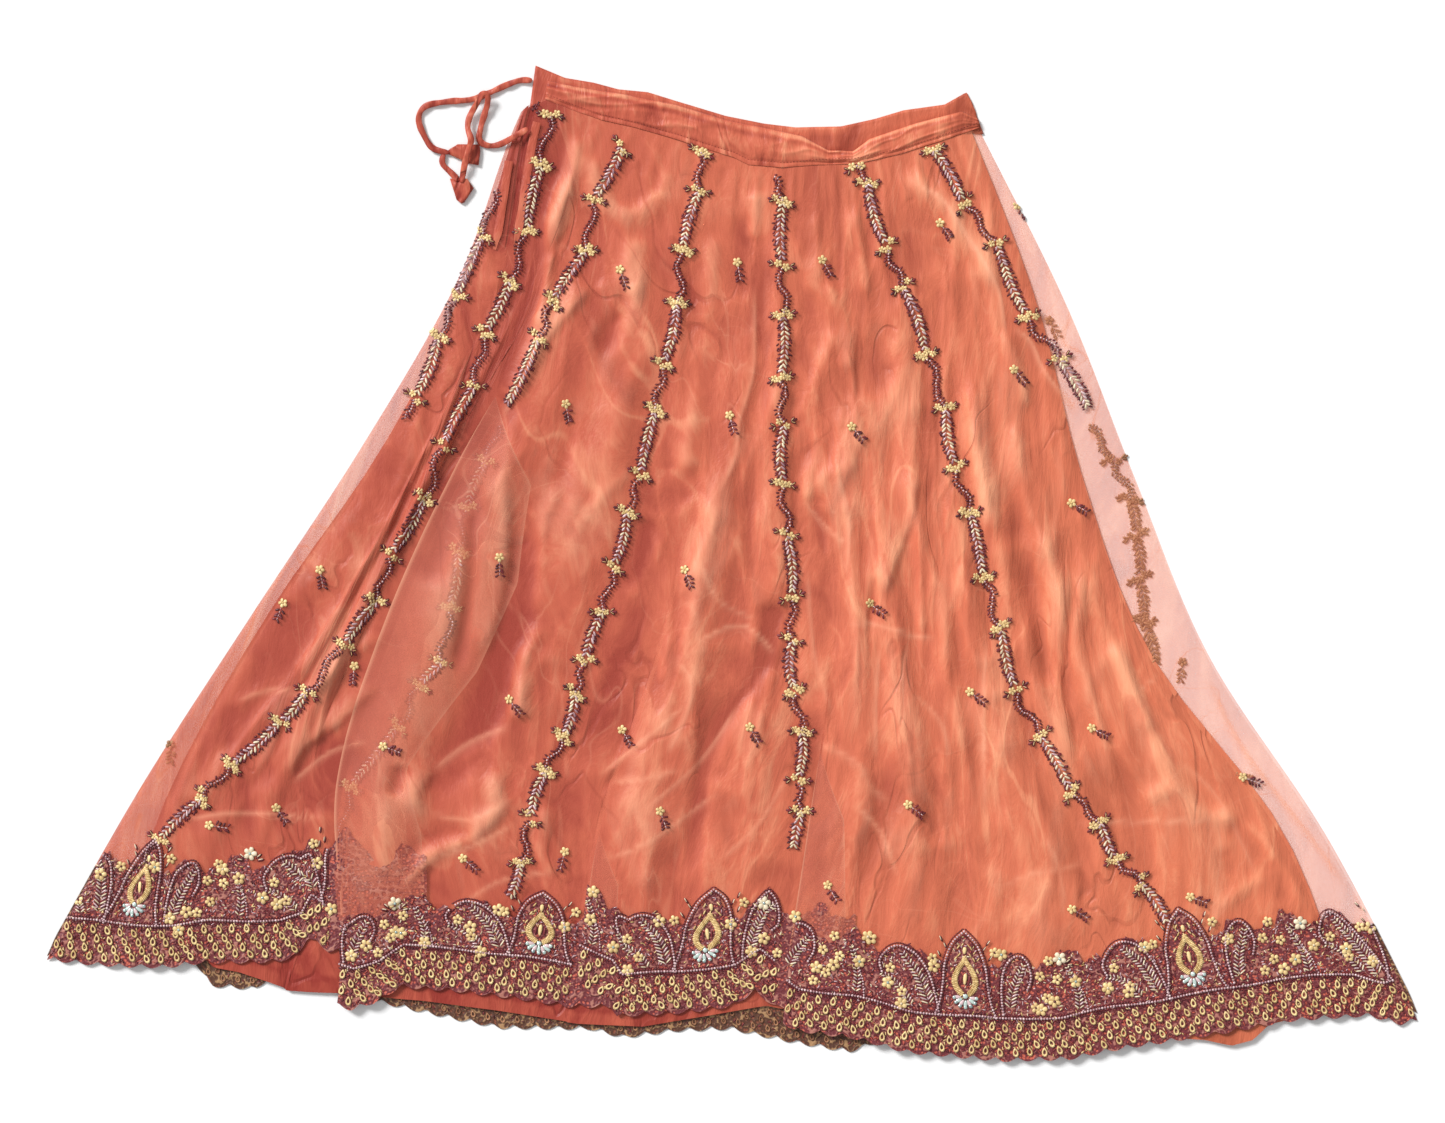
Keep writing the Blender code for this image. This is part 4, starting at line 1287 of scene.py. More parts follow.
@dataclass
class Stitchwork:
    """Stitches, beads and sequins gathered into one mesh on a piece of cloth."""

    name: str
    slot: str
    ground: Ground
    rows: list[tuple] = field(default_factory=list)
    chance: np.random.Generator = field(default_factory=lambda: np.random.default_rng(SEED))

    def add(
        self, form: Form, thread: Thread, x: float, y: float, turn: float, length: float, width: float,
        high: float = 1.0, lift: float = 0.0, tone: float | None = None,
    ) -> None:
        """Put one stitch on the cloth.

        Args:
            form: its shape.
            thread: what it is made of.
            x: plan place of its middle.
            y: plan place of its middle.
            turn: direction of its length in radians.
            length: of the stitch.
            width: of the stitch.
            high: its thickness.
            lift: how far its underside is above the cloth.
            tone: 0 darkest to 1 lightest, by chance where not given.
        """
        shade = self.chance.uniform(0.15, 1.0) if tone is None else tone
        self.rows.append((form, thread, x, y, turn, length, width, high, lift, shade))

    def chain(
        self, line: Array, thread: Thread, pitch: float, size: float, high: float = 1.2, lift: float = 0.0,
        form: Form = Form.BEAD, length: float | None = None, lean: float = 0.0,
    ) -> None:
        """A row of beads or short stitches along a line.

        Args:
            line: plan points.
            thread: what it is made of.
            pitch: distance between middles.
            size: width of each.
            high: thickness of each.
            lift: height of their underside above the cloth.
            form: shape of each.
            length: length of each, as its width where not given.
            lean: angle between a stitch and the line.
        """
        even = resample(line, pitch)
        for (x, y), turn in zip(even, directions(even)):
            self.add(form, thread, x, y, turn + lean, length or size, size, high, lift)

    def flower(
        self, x: float, y: float, radius: float, turn: float, thread: Thread = Thread.GOLD,
        heart: Thread = Thread.PALE, petals: int = 5,
    ) -> None:
        """A flower of satin-stitched petals with a bead at its heart."""
        for number in range(petals):
            angle = turn + number * 2 * math.pi / petals
            petal = moved(x, y, (angle, radius * 0.56))
            tone = self.chance.uniform(0.45, 1.0)
            length, width, high = radius * 0.98, radius * 0.80, radius * 0.34
            self.add(Form.PETAL, thread, *petal, angle, length, width, high, 0.2, tone)
        self.add(Form.BEAD, heart, x, y, 0.0, radius * 0.5, radius * 0.5, radius * 0.5, 0.5, 0.4)

    def finish(self, nodes: Sequence[str] = ()) -> Piece:
        """Make the mesh and the piece.

        Args:
            nodes: solids that the piece stands for.

        Returns:
            The finished piece.
        """
        corners, triangles, tones, kinds = [], [], [], []
        count = 0
        for form in Form:
            rows = [row for row in self.rows if row[0] is form]
            placed = [(row, self.ground.at(row[2], row[3])) for row in rows]
            placed = [(row, spot) for row, spot in placed if spot is not None]
            if not placed:
                continue
            shape, faces = stitch_form(form)
            frames = np.empty((len(placed), 3, 3))
            origins = np.empty((len(placed), 3))
            for index, (row, (height, normal)) in enumerate(placed):
                _, _, x, y, turn, length, width, high, lift, _ = row
                along = Vector((math.cos(turn), math.sin(turn), 0.0))
                side = normal.cross(along).normalized()
                along = side.cross(normal).normalized()
                frames[index, :, 0] = along * (length * MM)
                frames[index, :, 1] = side * (width * MM)
                frames[index, :, 2] = normal * (high * MM)
                raised = normal * ((lift + 0.35 * high) * MM)
                origins[index] = (x * MM + raised.x, y * MM + raised.y, height + raised.z)
            points = np.einsum("nij,vj->nvi", frames, shape) + origins[:, None, :]
            corners.append(points.reshape(-1, 3))
            offsets = count + len(shape) * np.arange(len(placed))
            triangles.append((faces[None, :, :] + offsets[:, None, None]).reshape(-1, 3))
            tones.append(np.repeat([row[9] for row, _ in placed], len(shape)))
            kinds.append(np.repeat([row[1].value for row, _ in placed], len(faces)))
            count += len(shape) * len(placed)
        mesh = bpy.data.meshes.new(self.name)
        faces = np.concatenate(triangles)
        mesh.vertices.add(count)
        mesh.vertices.foreach_set("co", np.concatenate(corners).ravel())
        mesh.loops.add(faces.size)
        mesh.loops.foreach_set("vertex_index", faces.ravel().astype(np.int32))
        mesh.polygons.add(len(faces))
        mesh.polygons.foreach_set("loop_start", np.arange(0, faces.size, 3, dtype=np.int32))
        mesh.update(calc_edges=True)
        tone = mesh.attributes.new("tone", "FLOAT", "POINT")
        tone.data.foreach_set("value", np.concatenate(tones).astype(np.float32))
        piece = new_piece(self.name, mesh, self.slot, nodes, *THREADS.values())
        mesh.polygons.foreach_set("material_index", np.concatenate(kinds).astype(np.int32))
        return piece


@dataclass
class Lining:
    """The satin tube under the net: its front with folds and creases, and its flat back."""

    drapery: Drapery
    columns: int = 250
    rows: int = 190
    back_level: float = 2.0
    flat: tuple[float, float] = (2.62, 0.95)

    def _front(self, column: Array, share: Array) -> Points:
        """Place of the front's points; share 1 is the lining's own hem."""
        fan = Fan()
        top_y, hem_y = fan.ends(column, NET_LEFT, NET_RIGHT)
        down = share * (top_y - line_at(LINING_HEM, column)) / (top_y - hem_y)
        x, y = fan.at(column, down)
        z = self.drapery.lining(column, down, x, y)
        opened = slit_opening(column, share)
        crest = self.drapery.crest(column, down, x, y)
        from_hem = SKIRT_LENGTH * (1.0 - share)
        # Painted shade along the folded hem strip, and a dark line 15 mm above the hem where its stitching
        # runs.
        crest -= 0.26 * (1.0 - smoothstep(34.0, 60.0, from_hem))
        crest -= 0.22 * peak(from_hem - 15.0, 2.5)
        return x + opened, y, z, *own_place(column, share), 0.0 * x, crest

    def _back(self, column: Array, share: Array) -> Points:
        """Place of the back's points."""
        fan = Fan(hem=tuple((x, y + 2.0) for x, y in LINING_HEM))
        x, y = fan.at(column, share, LINING_LEFT, LINING_RIGHT)
        # Painted shade where the back shows through the open slit.
        seen = peak(column - SLIT, 45.0) * (1.0 - smoothstep(0.15, 0.20, share))
        u, v = own_place(column, share)
        return x, y, 0.0 * x + self.back_level, u, v, 0.0 * x, 0.5 - 0.8 * seen

    def build(self) -> Piece:
        """Make the lining."""
        across = np.unique(np.concatenate([
            np.linspace(LINING_LEFT, LINING_RIGHT, self.columns), [SLIT - 0.01, SLIT + 0.01],
        ]))
        front = cloth_mesh("front", across, np.linspace(0.0, 1.0, self.rows), self._front, slit_cells)
        wide = np.linspace(LINING_LEFT, LINING_RIGHT, 60)
        back = cloth_mesh("back", wide, np.linspace(0.0, 1.0, 24), self._back)
        mesh = joined("satin_lining", [front, back])
        piece = new_piece("satin_lining", mesh, "satin", ("lining_front", "lining_back"), SATIN)
        area = cloth_area(piece)
        LOG.info("satin lining: %.3f square metres", area)
        return piece


def slit_opening(column: Array, share: Array) -> Array:
    """How far the slit's edges stand apart from their middle line."""
    half = 3.4 * np.sqrt(np.clip(1.0 - share / SLIT_SHARE, 0.0, 1.0))
    return np.sign(column - SLIT) * half * np.exp(-np.abs(column - SLIT) / 40.0)


def slit_cells(column: Array, share: Array) -> Array:
    """Which cells lie in the open slit."""
    return (np.abs(column - SLIT) < 0.5) & (share < SLIT_SHARE)


@dataclass
class Panel:
    """One run of the front net between two edges, with the layer that it lies on."""

    number: int
    low: float
    high: float
    left: Edge
    right: Edge
    lift: Callable[[Array, Array], Array]
    columns: int


@dataclass
class NetOverlay:
    """The sheer net over the lining: front panels with their folded flaps, and the back."""

    drapery: Drapery
    rows: int = 170
    layer: float = 0.55

    def panels(self) -> list[Panel]:
        """The runs of the front net, left to right."""
        a, b, c = FLAPS

        def fixed(value: float) -> Edge:
            """An edge that keeps to one column."""
            return lambda share: np.full_like(share, value)

        def raised(flap: Flap) -> Callable[[Array, Array], Array]:
            """Lift of a panel whose left edge is a folded one."""
            def lift(column: Array, share: Array) -> Array:
                """Two layers up at the edge and level again past the hidden ones."""
                width = np.maximum(flap.inner(share) - flap.edge, 1.0)
                past = (column - flap.edge) / width
                rise = smoothstep(0.0, 12.0, flap.inner(share) - flap.edge)
                curl = smoothstep(0.0, 3.0, column - flap.edge)
                return 2.0 * self.layer * rise * (0.35 + 0.65 * curl) * (1.0 - smoothstep(0.9, 1.5, past))
            return lift

        def flat(column: Array, share: Array) -> Array:
            """No lift, where the net lies in one layer."""
            return np.zeros_like(column)

        return [
            Panel(0, NET_LEFT, a.under, fixed(NET_LEFT), a.inner, flat, 90),
            Panel(1, a.edge, b.under, fixed(a.edge), b.inner, raised(a), 92),
            Panel(2, b.edge, c.under, fixed(b.edge), c.inner, raised(b), 84),
            Panel(3, c.edge, NET_RIGHT, fixed(c.edge), fixed(NET_RIGHT), raised(c), 165),
        ]

    def border_share(self, column: Array, low: float, high: float) -> Array:
        """Share of the way down where the border begins."""
        top_y, hem_y = Fan().ends(column, low, high)
        return 1.0 - (HemBorder.height - HemBorder.overlap) / (top_y - hem_y)

    def place_panel(self, panel: Panel, across: Array, down: Array) -> Points:
        """Place of a panel's points.

        Args:
            panel: the run of net.
            across: 0 at its left edge, 1 at its right.
            down: 0 at the seam, 1 at the top of the border.

        Returns:
            x, y, z, the cloth's own coordinates, how dense it is and its painted light and shade.
        """
        share = down * self.border_share(panel.left(down), panel.low, panel.high)
        left, right = panel.left(share), panel.right(share)
        column = left + across * (right - left)
        share = down * self.border_share(column, panel.low, panel.high)
        x, y = Fan().at(column, share, panel.low, panel.high)
        z = self.drapery.net_base(column, share, x, y) + panel.lift(column, share)
        crest = self.drapery.crest(column, share, x, y)
        return x, y, z, *own_place(column, share), self.drapery.paleness(x, y), crest

    def _panel_mesh(self, panel: Panel) -> Mesh:
        """One front panel, the first with the open slit."""
        slitted = panel.number == 0
        span = np.linspace(0.0, 1.0, panel.columns)
        hole = None
        if slitted:
            split = (SLIT - NET_LEFT) / (panel.high - NET_LEFT)
            span = np.unique(np.concatenate([span, [split - 1e-5, split + 1e-5]]))

            def hole(across: Array, down: Array) -> Array:
                """Cells of the open slit."""
                return (np.abs(across - split) < 1e-3) & (down < SLIT_SHARE / NET_SHARE)

        def place(across: Array, down: Array) -> Points:
            """Place of the panel's points, with the slit apart."""
            x, *others = self.place_panel(panel, across, down)
            if slitted:
                column = NET_LEFT + across * (panel.high - NET_LEFT)
                x = x + slit_opening(column, down * NET_SHARE)
            return x, *others

        return cloth_mesh("net_panel", span, np.linspace(0.0, 1.0, self.rows), place, hole)

    def _turned_mesh(self, flap: Flap, low: float, high: float) -> Mesh:
        """The middle layer of a flap, turned back under the folded edge."""
        first = flap.reach[0][0]  # where the fold begins

        def place(across: Array, down: Array) -> Points:
            """Place of the turned layer's points."""
            share = first + down * (1.0 - first)
            column = flap.edge + across * (flap.inner(share) - flap.edge)
            share = np.minimum(share, self.border_share(column, low, high) + 0.06)
            x, y = Fan().at(column, share, low, high)
            z = self.drapery.net_base(column, share, x, y) + self.layer
            u, v = own_place(column, share)
            rim = 0.9 * (1.0 - smoothstep(0.0, 0.05, across)) + 0.6 * smoothstep(0.94, 1.0, across)
            # The turned layer, lying under the folded flap, gets a little more painted shade.
            return x, y, z, u, v, rim, self.drapery.crest(column, share, x, y) - 0.08, 1.0 + 0.0 * x

        return cloth_mesh("turned", np.linspace(0.0, 1.0, 26), np.linspace(0.0, 1.0, 100), place)

    def _back_mesh(self) -> Mesh:
        """The back net, flat on the surface."""
        def place(column: Array, down: Array) -> Points:
            """Place of the back's points."""
            fan = Fan(hem=BACK_HEM)
            top_y, hem_y = fan.ends(column, NET_LEFT, NET_RIGHT)
            share = down * (1.0 - (HemBorder.height - HemBorder.overlap - 4.0) / (top_y - hem_y))
            x, y = fan.at(column, share)
            return x, y, 0.0 * x + 0.6, *own_place(column, share), 0.0 * x

        return cloth_mesh("net_back", np.linspace(NET_LEFT, NET_RIGHT, 90), np.linspace(0, 1, 50), place)

    def build(self) -> tuple[Piece, Piece]:
        """Make the net, the front and the back."""
        panels = self.panels()
        front = [self._panel_mesh(panel) for panel in panels]
        front += [self._turned_mesh(flap, beside.low, beside.high) for flap, beside in zip(FLAPS, panels)]
        piece = new_piece("net_overlay_front", joined("net_front", front), "net", ("net_front",), NET)
        back = new_piece("net_overlay_back", self._back_mesh(), "net", ("net_back",), BACK_NET)
        LOG.info("net: front %.3f, back %.3f square metres", cloth_area(piece), cloth_area(back))
        for sheer in (piece, back):
            sheer.visible_shadow = sheer.visible_diffuse = False
        return piece, back


@dataclass
class HemBorder:
    """The embroidered border round the hem: its ground, and what is worked on it."""

    drapery: Drapery
    overlay: NetOverlay
    height: float = 128.0
    overlap: float = 42.0  # how far the net reaches under the border's top edge
    back_height: float = 90.0
    scallop_pitch: float = 23.0
    scallop_depth: float = 5.0
    ground_lift: float = 0.55
    rows: int = 26
    motif_scales: tuple[float, ...] = (1.0, 0.78, 0.94, 1.0)

    def scallop(self, column: Array) -> Array:
        """How far the edge stands out at columns."""
        return self.scallop_depth * np.abs(np.sin(math.pi * column / self.scallop_pitch))

    def arches(self, panel: Panel) -> tuple[float, ...]:
        """Columns of a panel's arch motifs, those half hidden under a flap among them."""
        return ((-650.0, -404.0), (-452.0, -209.5), (-278.0, -36.0), (3.0, 247.0, 498.0, 742.0))[panel.number]

    def risen(self, number: int, high: Array) -> Array:
        """Height above the hem of what is that high on a flat panel."""
        return np.minimum(high, 40.0) + np.maximum(high - 40.0, 0.0) * self.motif_scales[number]

    def crest(self, column: Array, arches: Sequence[float]) -> Array:
        """Height of the worked ground above the hem, which follows the motifs' tops."""
        top = np.full_like(column, 95.0)
        for middle in arches:
            off = column - middle
            top = np.maximum(top, 130.0 - 1.5 * np.abs(off))
            top = np.maximum(top, 108.0 - 0.035 * (off - 56.0) ** 2)
            top = np.maximum(top, 108.0 - 0.020 * (off + 64.0) ** 2)
            top = np.maximum(top, 110.0 - 0.06 * (off - 117.0) ** 2)
        return np.minimum(top + 2.5 * np.sin(column / 3.1) + 1.5 * np.sin(column / 1.7), 127.0)

    def worked(self, panel: Panel, column: Array, high: Array) -> tuple[Array, Array, Array]:
        """Plan place of motif points, lower where the panel's motifs are."""
        return self.point(panel, column, self.risen(panel.number, high))

    def point(self, panel: Panel, column: Array, high: Array) -> tuple[Array, Array, Array]:
        """Plan place of points given by column and height above the hem.

        Args:
            panel: the run of net that carries them.
            column: x at the hem.
            high: distance up from the hem.

        Returns:
            x, y and the share of the way down.
        """
        top_y, hem_y = Fan().ends(column, panel.low, panel.high)
        share = 1.0 - high / (top_y - hem_y)
        x, y = Fan().at(column, share, panel.low, panel.high)
        return x, y, share

    def _ground_mesh(self, panel: Panel) -> Mesh:
        """The ground of one panel."""
        left = panel.low
        right = float(panel.right(np.array([1.0]))[0])
        columns = np.linspace(left, right, round((right - left) / 2.6) + 1)
        middles = self.arches(panel)

        def place(column: Array, down: Array) -> Points:
            """Place of the ground's points."""
            high = (1.0 - down) * self.risen(panel.number, self.crest(column, middles))
            x, y, share = self.point(panel, column, high)
            y = y - self.scallop(column) * smoothstep(0.80, 1.0, down)
            z = self.drapery.net_base(column, share, x, y) + panel.lift(column, share) + self.ground_lift
            return x, y, z, column, high, 0.0 * x

        return cloth_mesh("ground_panel", columns, np.linspace(0.0, 1.0, self.rows), place)

    def _back_mesh(self) -> Mesh:
        """The back's border, wrong side up."""
        def place(column: Array, down: Array) -> Points:
            """Place of the back border's points."""
            fan = Fan(hem=BACK_HEM)
            top_y, hem_y = fan.ends(column, NET_LEFT, NET_RIGHT)
            high = (1.0 - down) * self.back_height
            x, y = fan.at(column, 1.0 - high / (top_y - hem_y))
            y = y - self.scallop(column) * smoothstep(0.8, 1.0, down)
            return x, y, 0.0 * x + 1.1, column, high, 0.0 * x

        columns = np.linspace(NET_LEFT, NET_RIGHT, 480)
        return cloth_mesh("border_back", columns, np.linspace(0, 1, 14), place)

    def build(self) -> tuple[Piece, Piece]:
        """Make the border's grounds, the front and the back."""
        grounds = [self._ground_mesh(panel) for panel in self.overlay.panels()]
        slot = "border_embroidery"
        front = new_piece("border_ground_front", joined("ground", grounds), slot, ("border_front",), BORDER)
        back = new_piece("border_ground_back", self._back_mesh(), slot, ("border_back",), BORDER_WRONG_SIDE)
        return front, back


# Motifs of the border: columns from the motif's middle, heights above the hem
LOOPS_TOP = 36.0
ARCH_OUTLINE = ((0, 129), (14, 116), (23, 94), (25, 74), (28, 55), (33, 41))
ARCH_THREADS = ((9, 112), (13, 100), (18, 88), (8, 104), (17, 76))
ARCH_FLAME = (
    (-4, 62), (-11, 69), (-13, 79), (-8, 90), (-2, 98), (0, 103), (2, 98), (8, 90), (13, 79), (11, 69),
    (4, 62),
)
# Petals inside the flame: the same two, then length, width and thread
ARCH_DROPS = (
    (0, 79, 13.0, 4.4, Thread.GOLD),
    (-4.5, 78, 9.0, 2.2, Thread.MAROON),
    (4.5, 78, 9.0, 2.2, Thread.MAROON),
    (0, 109, 8.0, 4.5, Thread.GOLD),
)
ARCH_HORNS = ((22, 112), (27, 119), (29, 103))
PAISLEYS = (
    ((41, 45), (40, 62), (41, 78), (45, 94), (55, 104), (65, 105), (72, 96), (74, 82), (69, 70)),
    ((-29, 40), (-33, 59), (-41, 82), (-55, 100), (-71, 106), (-85, 101), (-96, 86), (-93, 74)),
)
PAISLEY_FLOWERS = (
    (34, 110), (77, 51), (90, 61), (95, 100), (-84, 80), (-70, 59), (-37, 98), (103, 80), (84, 84),
)
PAISLEY_STALK = ((124, 73), (128, 66), (131, 58), (133, 44))
FERNS = (
    (8.5, ((49, 52), (52, 66), (58, 80), (66, 95))),
    (9.5, ((-40, 50), (-46, 66), (-55, 82), (-70, 98))),
    (7.0, ((-60, 47), (-68, 58), (-80, 68), (-92, 72))),
    (6.5, ((124, 46), (125, 60), (122, 74), (116, 90))),
)


@dataclass
class BorderWork:
    """Beads, thread and flowers worked on the border."""

    border: HemBorder
    loop_pitch: float = 15.5
    loop_rows: tuple[float, ...] = (31.0, 22.0, 13.0, 5.0)
    fill: int = 9500

    def _line(self, panel: Panel, points: Iterable[Point], middle: float = 0.0) -> Array:
        """A smooth plan line, cut to the panel.

        Args:
            panel: the run of net that carries it.
            points: what it runs through, by column from the middle and height above the hem.
            middle: the motif's column.

        Returns:
            Its plan points, none where too little of it shows.
        """
        fine = smooth_line([(middle + a, h) for a, h in points], 2.0)
        fine = fine[(fine[:, 0] >= panel.low) & (fine[:, 0] <= panel.high)]
        if len(fine) < 3:
            return np.zeros((0, 2))
        x, y, _ = self.border.worked(panel, fine[:, 0], fine[:, 1])
        return np.stack([x, y], axis=1)

    def _spots(self, panel: Panel, points: Iterable[Point], middle: float = 0.0) -> Iterator[Spot]:
        """Plan places of those points that lie on the panel, with the direction of the hem there."""
        for a, h in points:
            column = middle + a
            if panel.low <= column <= panel.high:
                x, y, _ = self.border.worked(panel, np.array([column, column + 2.0]), np.array([h, h]))
                yield float(x[0]), float(y[0]), math.atan2(y[1] - y[0], x[1] - x[0])

    def loops(self, work: Stitchwork) -> None:
        """Rows of gold loops above the edge."""
        draw = work.chance.uniform
        for panel in self.border.overlay.panels():
            for number, row in enumerate(self.loop_rows):
                start = panel.low + 4.0 + (number % 2) * self.loop_pitch / 2
                for column in np.arange(start, panel.high - 2.0, self.loop_pitch):
                    point = (column + draw(-1, 1), row + draw(-1, 1))
                    for x, y, turn in self._spots(panel, [point]):
                        lean = math.radians(105.0) + draw(-0.3, 0.3)
                        tone = draw(0.4, 1.0)
                        work.add(Form.LOOP, Thread.GOLD, x, y, turn + lean, 9.6, 6.6, 2.0, 0.3, tone)
                        tail = turn + math.radians(60.0)
                        foot = moved(x, y, (tail, 5.2))
                        work.add(Form.SEED, Thread.GOLD, *foot, tail + 0.9, 4.4, 1.5, 1.5, 0.2, tone)

    def bead_line(self, work: Stitchwork, line: Array, silver: float = 2.9) -> None:
        """A double row: silver beads with maroon thread beside them."""
        if len(line) < 3:
            return
        work.chain(line, Thread.SILVER, 3.1, silver, 2.2, 0.6)
        work.chain(aside(line, 2.6), Thread.MAROON, 3.0, 1.7, 1.2, 0.0, Form.SEED, 3.8, 0.25)
        work.chain(aside(line, -2.6), Thread.MAROON, 3.0, 1.7, 1.2, 0.0, Form.SEED, 3.8, -0.25)

    def arch(self, work: Stitchwork, panel: Panel, middle: float) -> None:
        """The arch motif: a pointed outline of beads round a gold horseshoe with sequins at its foot."""
        for side in (-1, 1):
            self.bead_line(work, self._line(panel, [(side * a, h) for a, h in ARCH_OUTLINE], middle))
            for x, y, turn in self._spots(panel, [(side * a * 0.8, h) for a, h in ARCH_THREADS], middle):
                up = turn + math.pi / 2
                work.add(Form.SEED, Thread.GOLD, x, y, up + side * 0.6, 6.0, 2.0, 1.2, 0.2)
                work.add(Form.SEED, Thread.MAROON, x + 1.5, y, up - side * 0.5, 5.0, 1.6, 1.0)
        for inward in (0.0, 2.8):
            shape = [(a * (1 - inward / 13), 80 + (h - 80) * (1 - inward / 22)) for a, h in ARCH_FLAME]
            line = self._line(panel, shape, middle)
            if len(line) > 3:
                work.chain(line, Thread.GOLD, 1.8, 2.0, 1.7, 0.3, Form.SEED, 5.0, math.pi / 2 - 0.35)
        for a, h, long, wide, thread in ARCH_DROPS:
            for x, y, turn in self._spots(panel, [(a, h)], middle):
                work.add(Form.PETAL, thread, x, y, turn + 1.57, long, wide, 1.8, 0.4, 0.9)
        for number in range(7):
            fan = -math.pi * (0.02 + 0.96 * number / 6)
            thread = Thread.SEQUIN if number % 2 else Thread.SILVER
            for x, y, turn in self._spots(panel, [(8.5 * math.cos(fan), 60 + 7.0 * math.sin(fan))], middle):
                work.add(Form.PETAL, thread, x, y, turn + fan, 8.6, 4.2, 1.4, 0.4, 0.95)
                work.add(Form.DISC, Thread.SEQUIN, *moved(x, y, (fan, 3.6)), 0.0, 4.2, 4.2, 0.7, 1.0)
        for x, y, _ in self._spots(panel, [(0, 61)], middle):
            work.add(Form.DISC, Thread.SEQUIN, x, y, 0.0, 5.6, 5.6, 0.9, 1.2, 1.0)
        for side in (-1, 1):
            for x, y, turn in self._spots(panel, [(side * a, h) for a, h in ARCH_HORNS], middle):
                up = turn + math.pi / 2 - side * 0.5
                work.add(Form.SEED, Thread.MAROON, x, y, up, 8.0, 2.6, 1.2)
                work.add(Form.SEED, Thread.PALE, x + side, y + 1.0, up, 6.0, 1.3, 1.3, 0.6)

    def fern(self, work: Stitchwork, line: Array, size: float) -> None:
        """A frond of paired leaves that get smaller towards its tip."""
        if len(line) < 4:
            return
        even = resample(line, 3.9)
        for number, ((x, y), turn) in enumerate(zip(even, directions(even))):
            long = size * (1.0 - 0.5 * number / max(len(even) - 1, 1))
            thread = Thread.SILVER if number % 2 else Thread.PALE
            for side in (-1, 1):
                lean = turn + side * 0.95
                leaf = moved(x, y, (lean, long * 0.5))
                work.add(Form.SEED, thread, *leaf, lean, long, 1.9, 1.3, 0.3)
                work.add(Form.SEED, Thread.MAROON, *moved(*leaf, (turn, 1.6)), lean, long, 1.6, 1.0)

    def paisleys(self, work: Stitchwork, panel: Panel, middle: float) -> None:
        """The two paisleys beside an arch, with ferns and flowers in them."""
        for outline in PAISLEYS:
            self.bead_line(work, self._line(panel, outline, middle))
        for size, stem in FERNS:
            self.fern(work, self._line(panel, stem, middle), size)
        for a, h in PAISLEY_FLOWERS:
            for x, y, _ in self._spots(panel, [(a, h)], middle):
                work.flower(x, y, 5.4, a, Thread.GOLD, Thread.MAROON)
        stem = self._line(panel, PAISLEY_STALK, middle)
        if len(stem) > 3:
            work.chain(stem, Thread.SILVER, 3.0, 2.2, 1.8, 0.3)

    def lower_lines(self, work: Stitchwork) -> None:
        """The two bead lines that part the motifs from the loops."""
        for panel in self.border.overlay.panels():
            columns = np.arange(panel.low, panel.high, 12.0)
            wave = LOOPS_TOP + 1.2 * np.sin(columns / 19.0)
            self.bead_line(work, self._line(panel, zip(columns, wave + 4.5)))
            edge = self._line(panel, zip(columns, wave))
            work.chain(edge, Thread.MAROON, 3.2, 1.6, 1.1, 0.0, Form.SEED, 4.0)

    def flowers(self, work: Stitchwork) -> None:
        """The gold and the white flowers that stand out."""
        for number, (x, y) in enumerate(GOLD_FLOWERS):
            heart = (Thread.MAROON, Thread.SEQUIN, Thread.PALE)[number % 3]
            work.flower(x, y, 6.6, number * 0.7, Thread.GOLD, heart)
        for number, (x, y) in enumerate(WHITE_FLOWERS):
            work.flower(x, y, 7.2, number * 0.7, Thread.PALE, Thread.SEQUIN)
            for side in (-1, 1):
                for step in (0, 1):
                    lean = math.pi / 2 - side * (0.9 + 0.5 * step)
                    px, py = x + side * (9 + 2 * step), y - 3 - 4 * step
                    work.add(Form.SEED, Thread.MAROON, px, py, lean, 9.0, 3.0, 1.2)
                    work.add(Form.SEED, Thread.PALE, px, py + 1, lean, 6.0, 1.4, 1.4, 0.6)

    def seeds(self, work: Stitchwork) -> None:
        """Short stitches in all directions that fill the ground."""
        chance = work.chance
        draw = chance.uniform
        panels = self.border.overlay.panels()
        whole = sum(panel.high - panel.low for panel in panels)
        threads = (*(Thread.MAROON,) * 3, Thread.RED, Thread.SILVER, Thread.PALE, Thread.GOLD)
        odds = np.array([0.20, 0.12, 0.08, 0.25, 0.17, 0.07, 0.11])
        for panel in panels:
            count = round(self.fill * (panel.high - panel.low) / whole)
            columns = draw(panel.low + 1, panel.high - 1, count)
            draw(size=count)  # keeps the order of the draws that follow
            highs = draw(0.0, 1.0, count) * self.border.crest(columns, self.border.arches(panel))
            x, y, _ = self.border.worked(panel, columns, highs)
            for px, py, high in zip(x, y, highs):
                thread = threads[chance.choice(len(threads), p=odds)]
                if high < LOOPS_TOP and thread in (Thread.SILVER, Thread.PALE):
                    thread = Thread.MAROON
                long = draw(2.6, 5.2)
                turn = draw(0.0, math.pi)
                work.add(Form.SEED, thread, px, py, turn, long, draw(1.1, 1.8), 1.0, 0.1)

    def back_loops(self, work: Stitchwork) -> None:
        """The wrong side of the loops on the back's border."""
        draw = work.chance.uniform
        fan = Fan(hem=BACK_HEM)
        for number, row in enumerate(self.loop_rows):
            columns = np.arange(NET_LEFT + 6 + (number % 2) * 7.7, NET_RIGHT - 6, self.loop_pitch)
            top_y, hem_y = fan.ends(columns, NET_LEFT, NET_RIGHT)
            x, y = fan.at(columns, 1.0 - row / (top_y - hem_y))
            for px, py in zip(x, y):
                work.add(Form.LOOP, Thread.BROWN, px, py, 1.8, 8.0, 5.6, 1.2, 0.0)
                beside = (px + draw(3, 12), py + draw(-3, 3))
                work.add(Form.SEED, Thread.MAROON, *beside, draw(0, 3), 5.0, 1.6, 1.0)

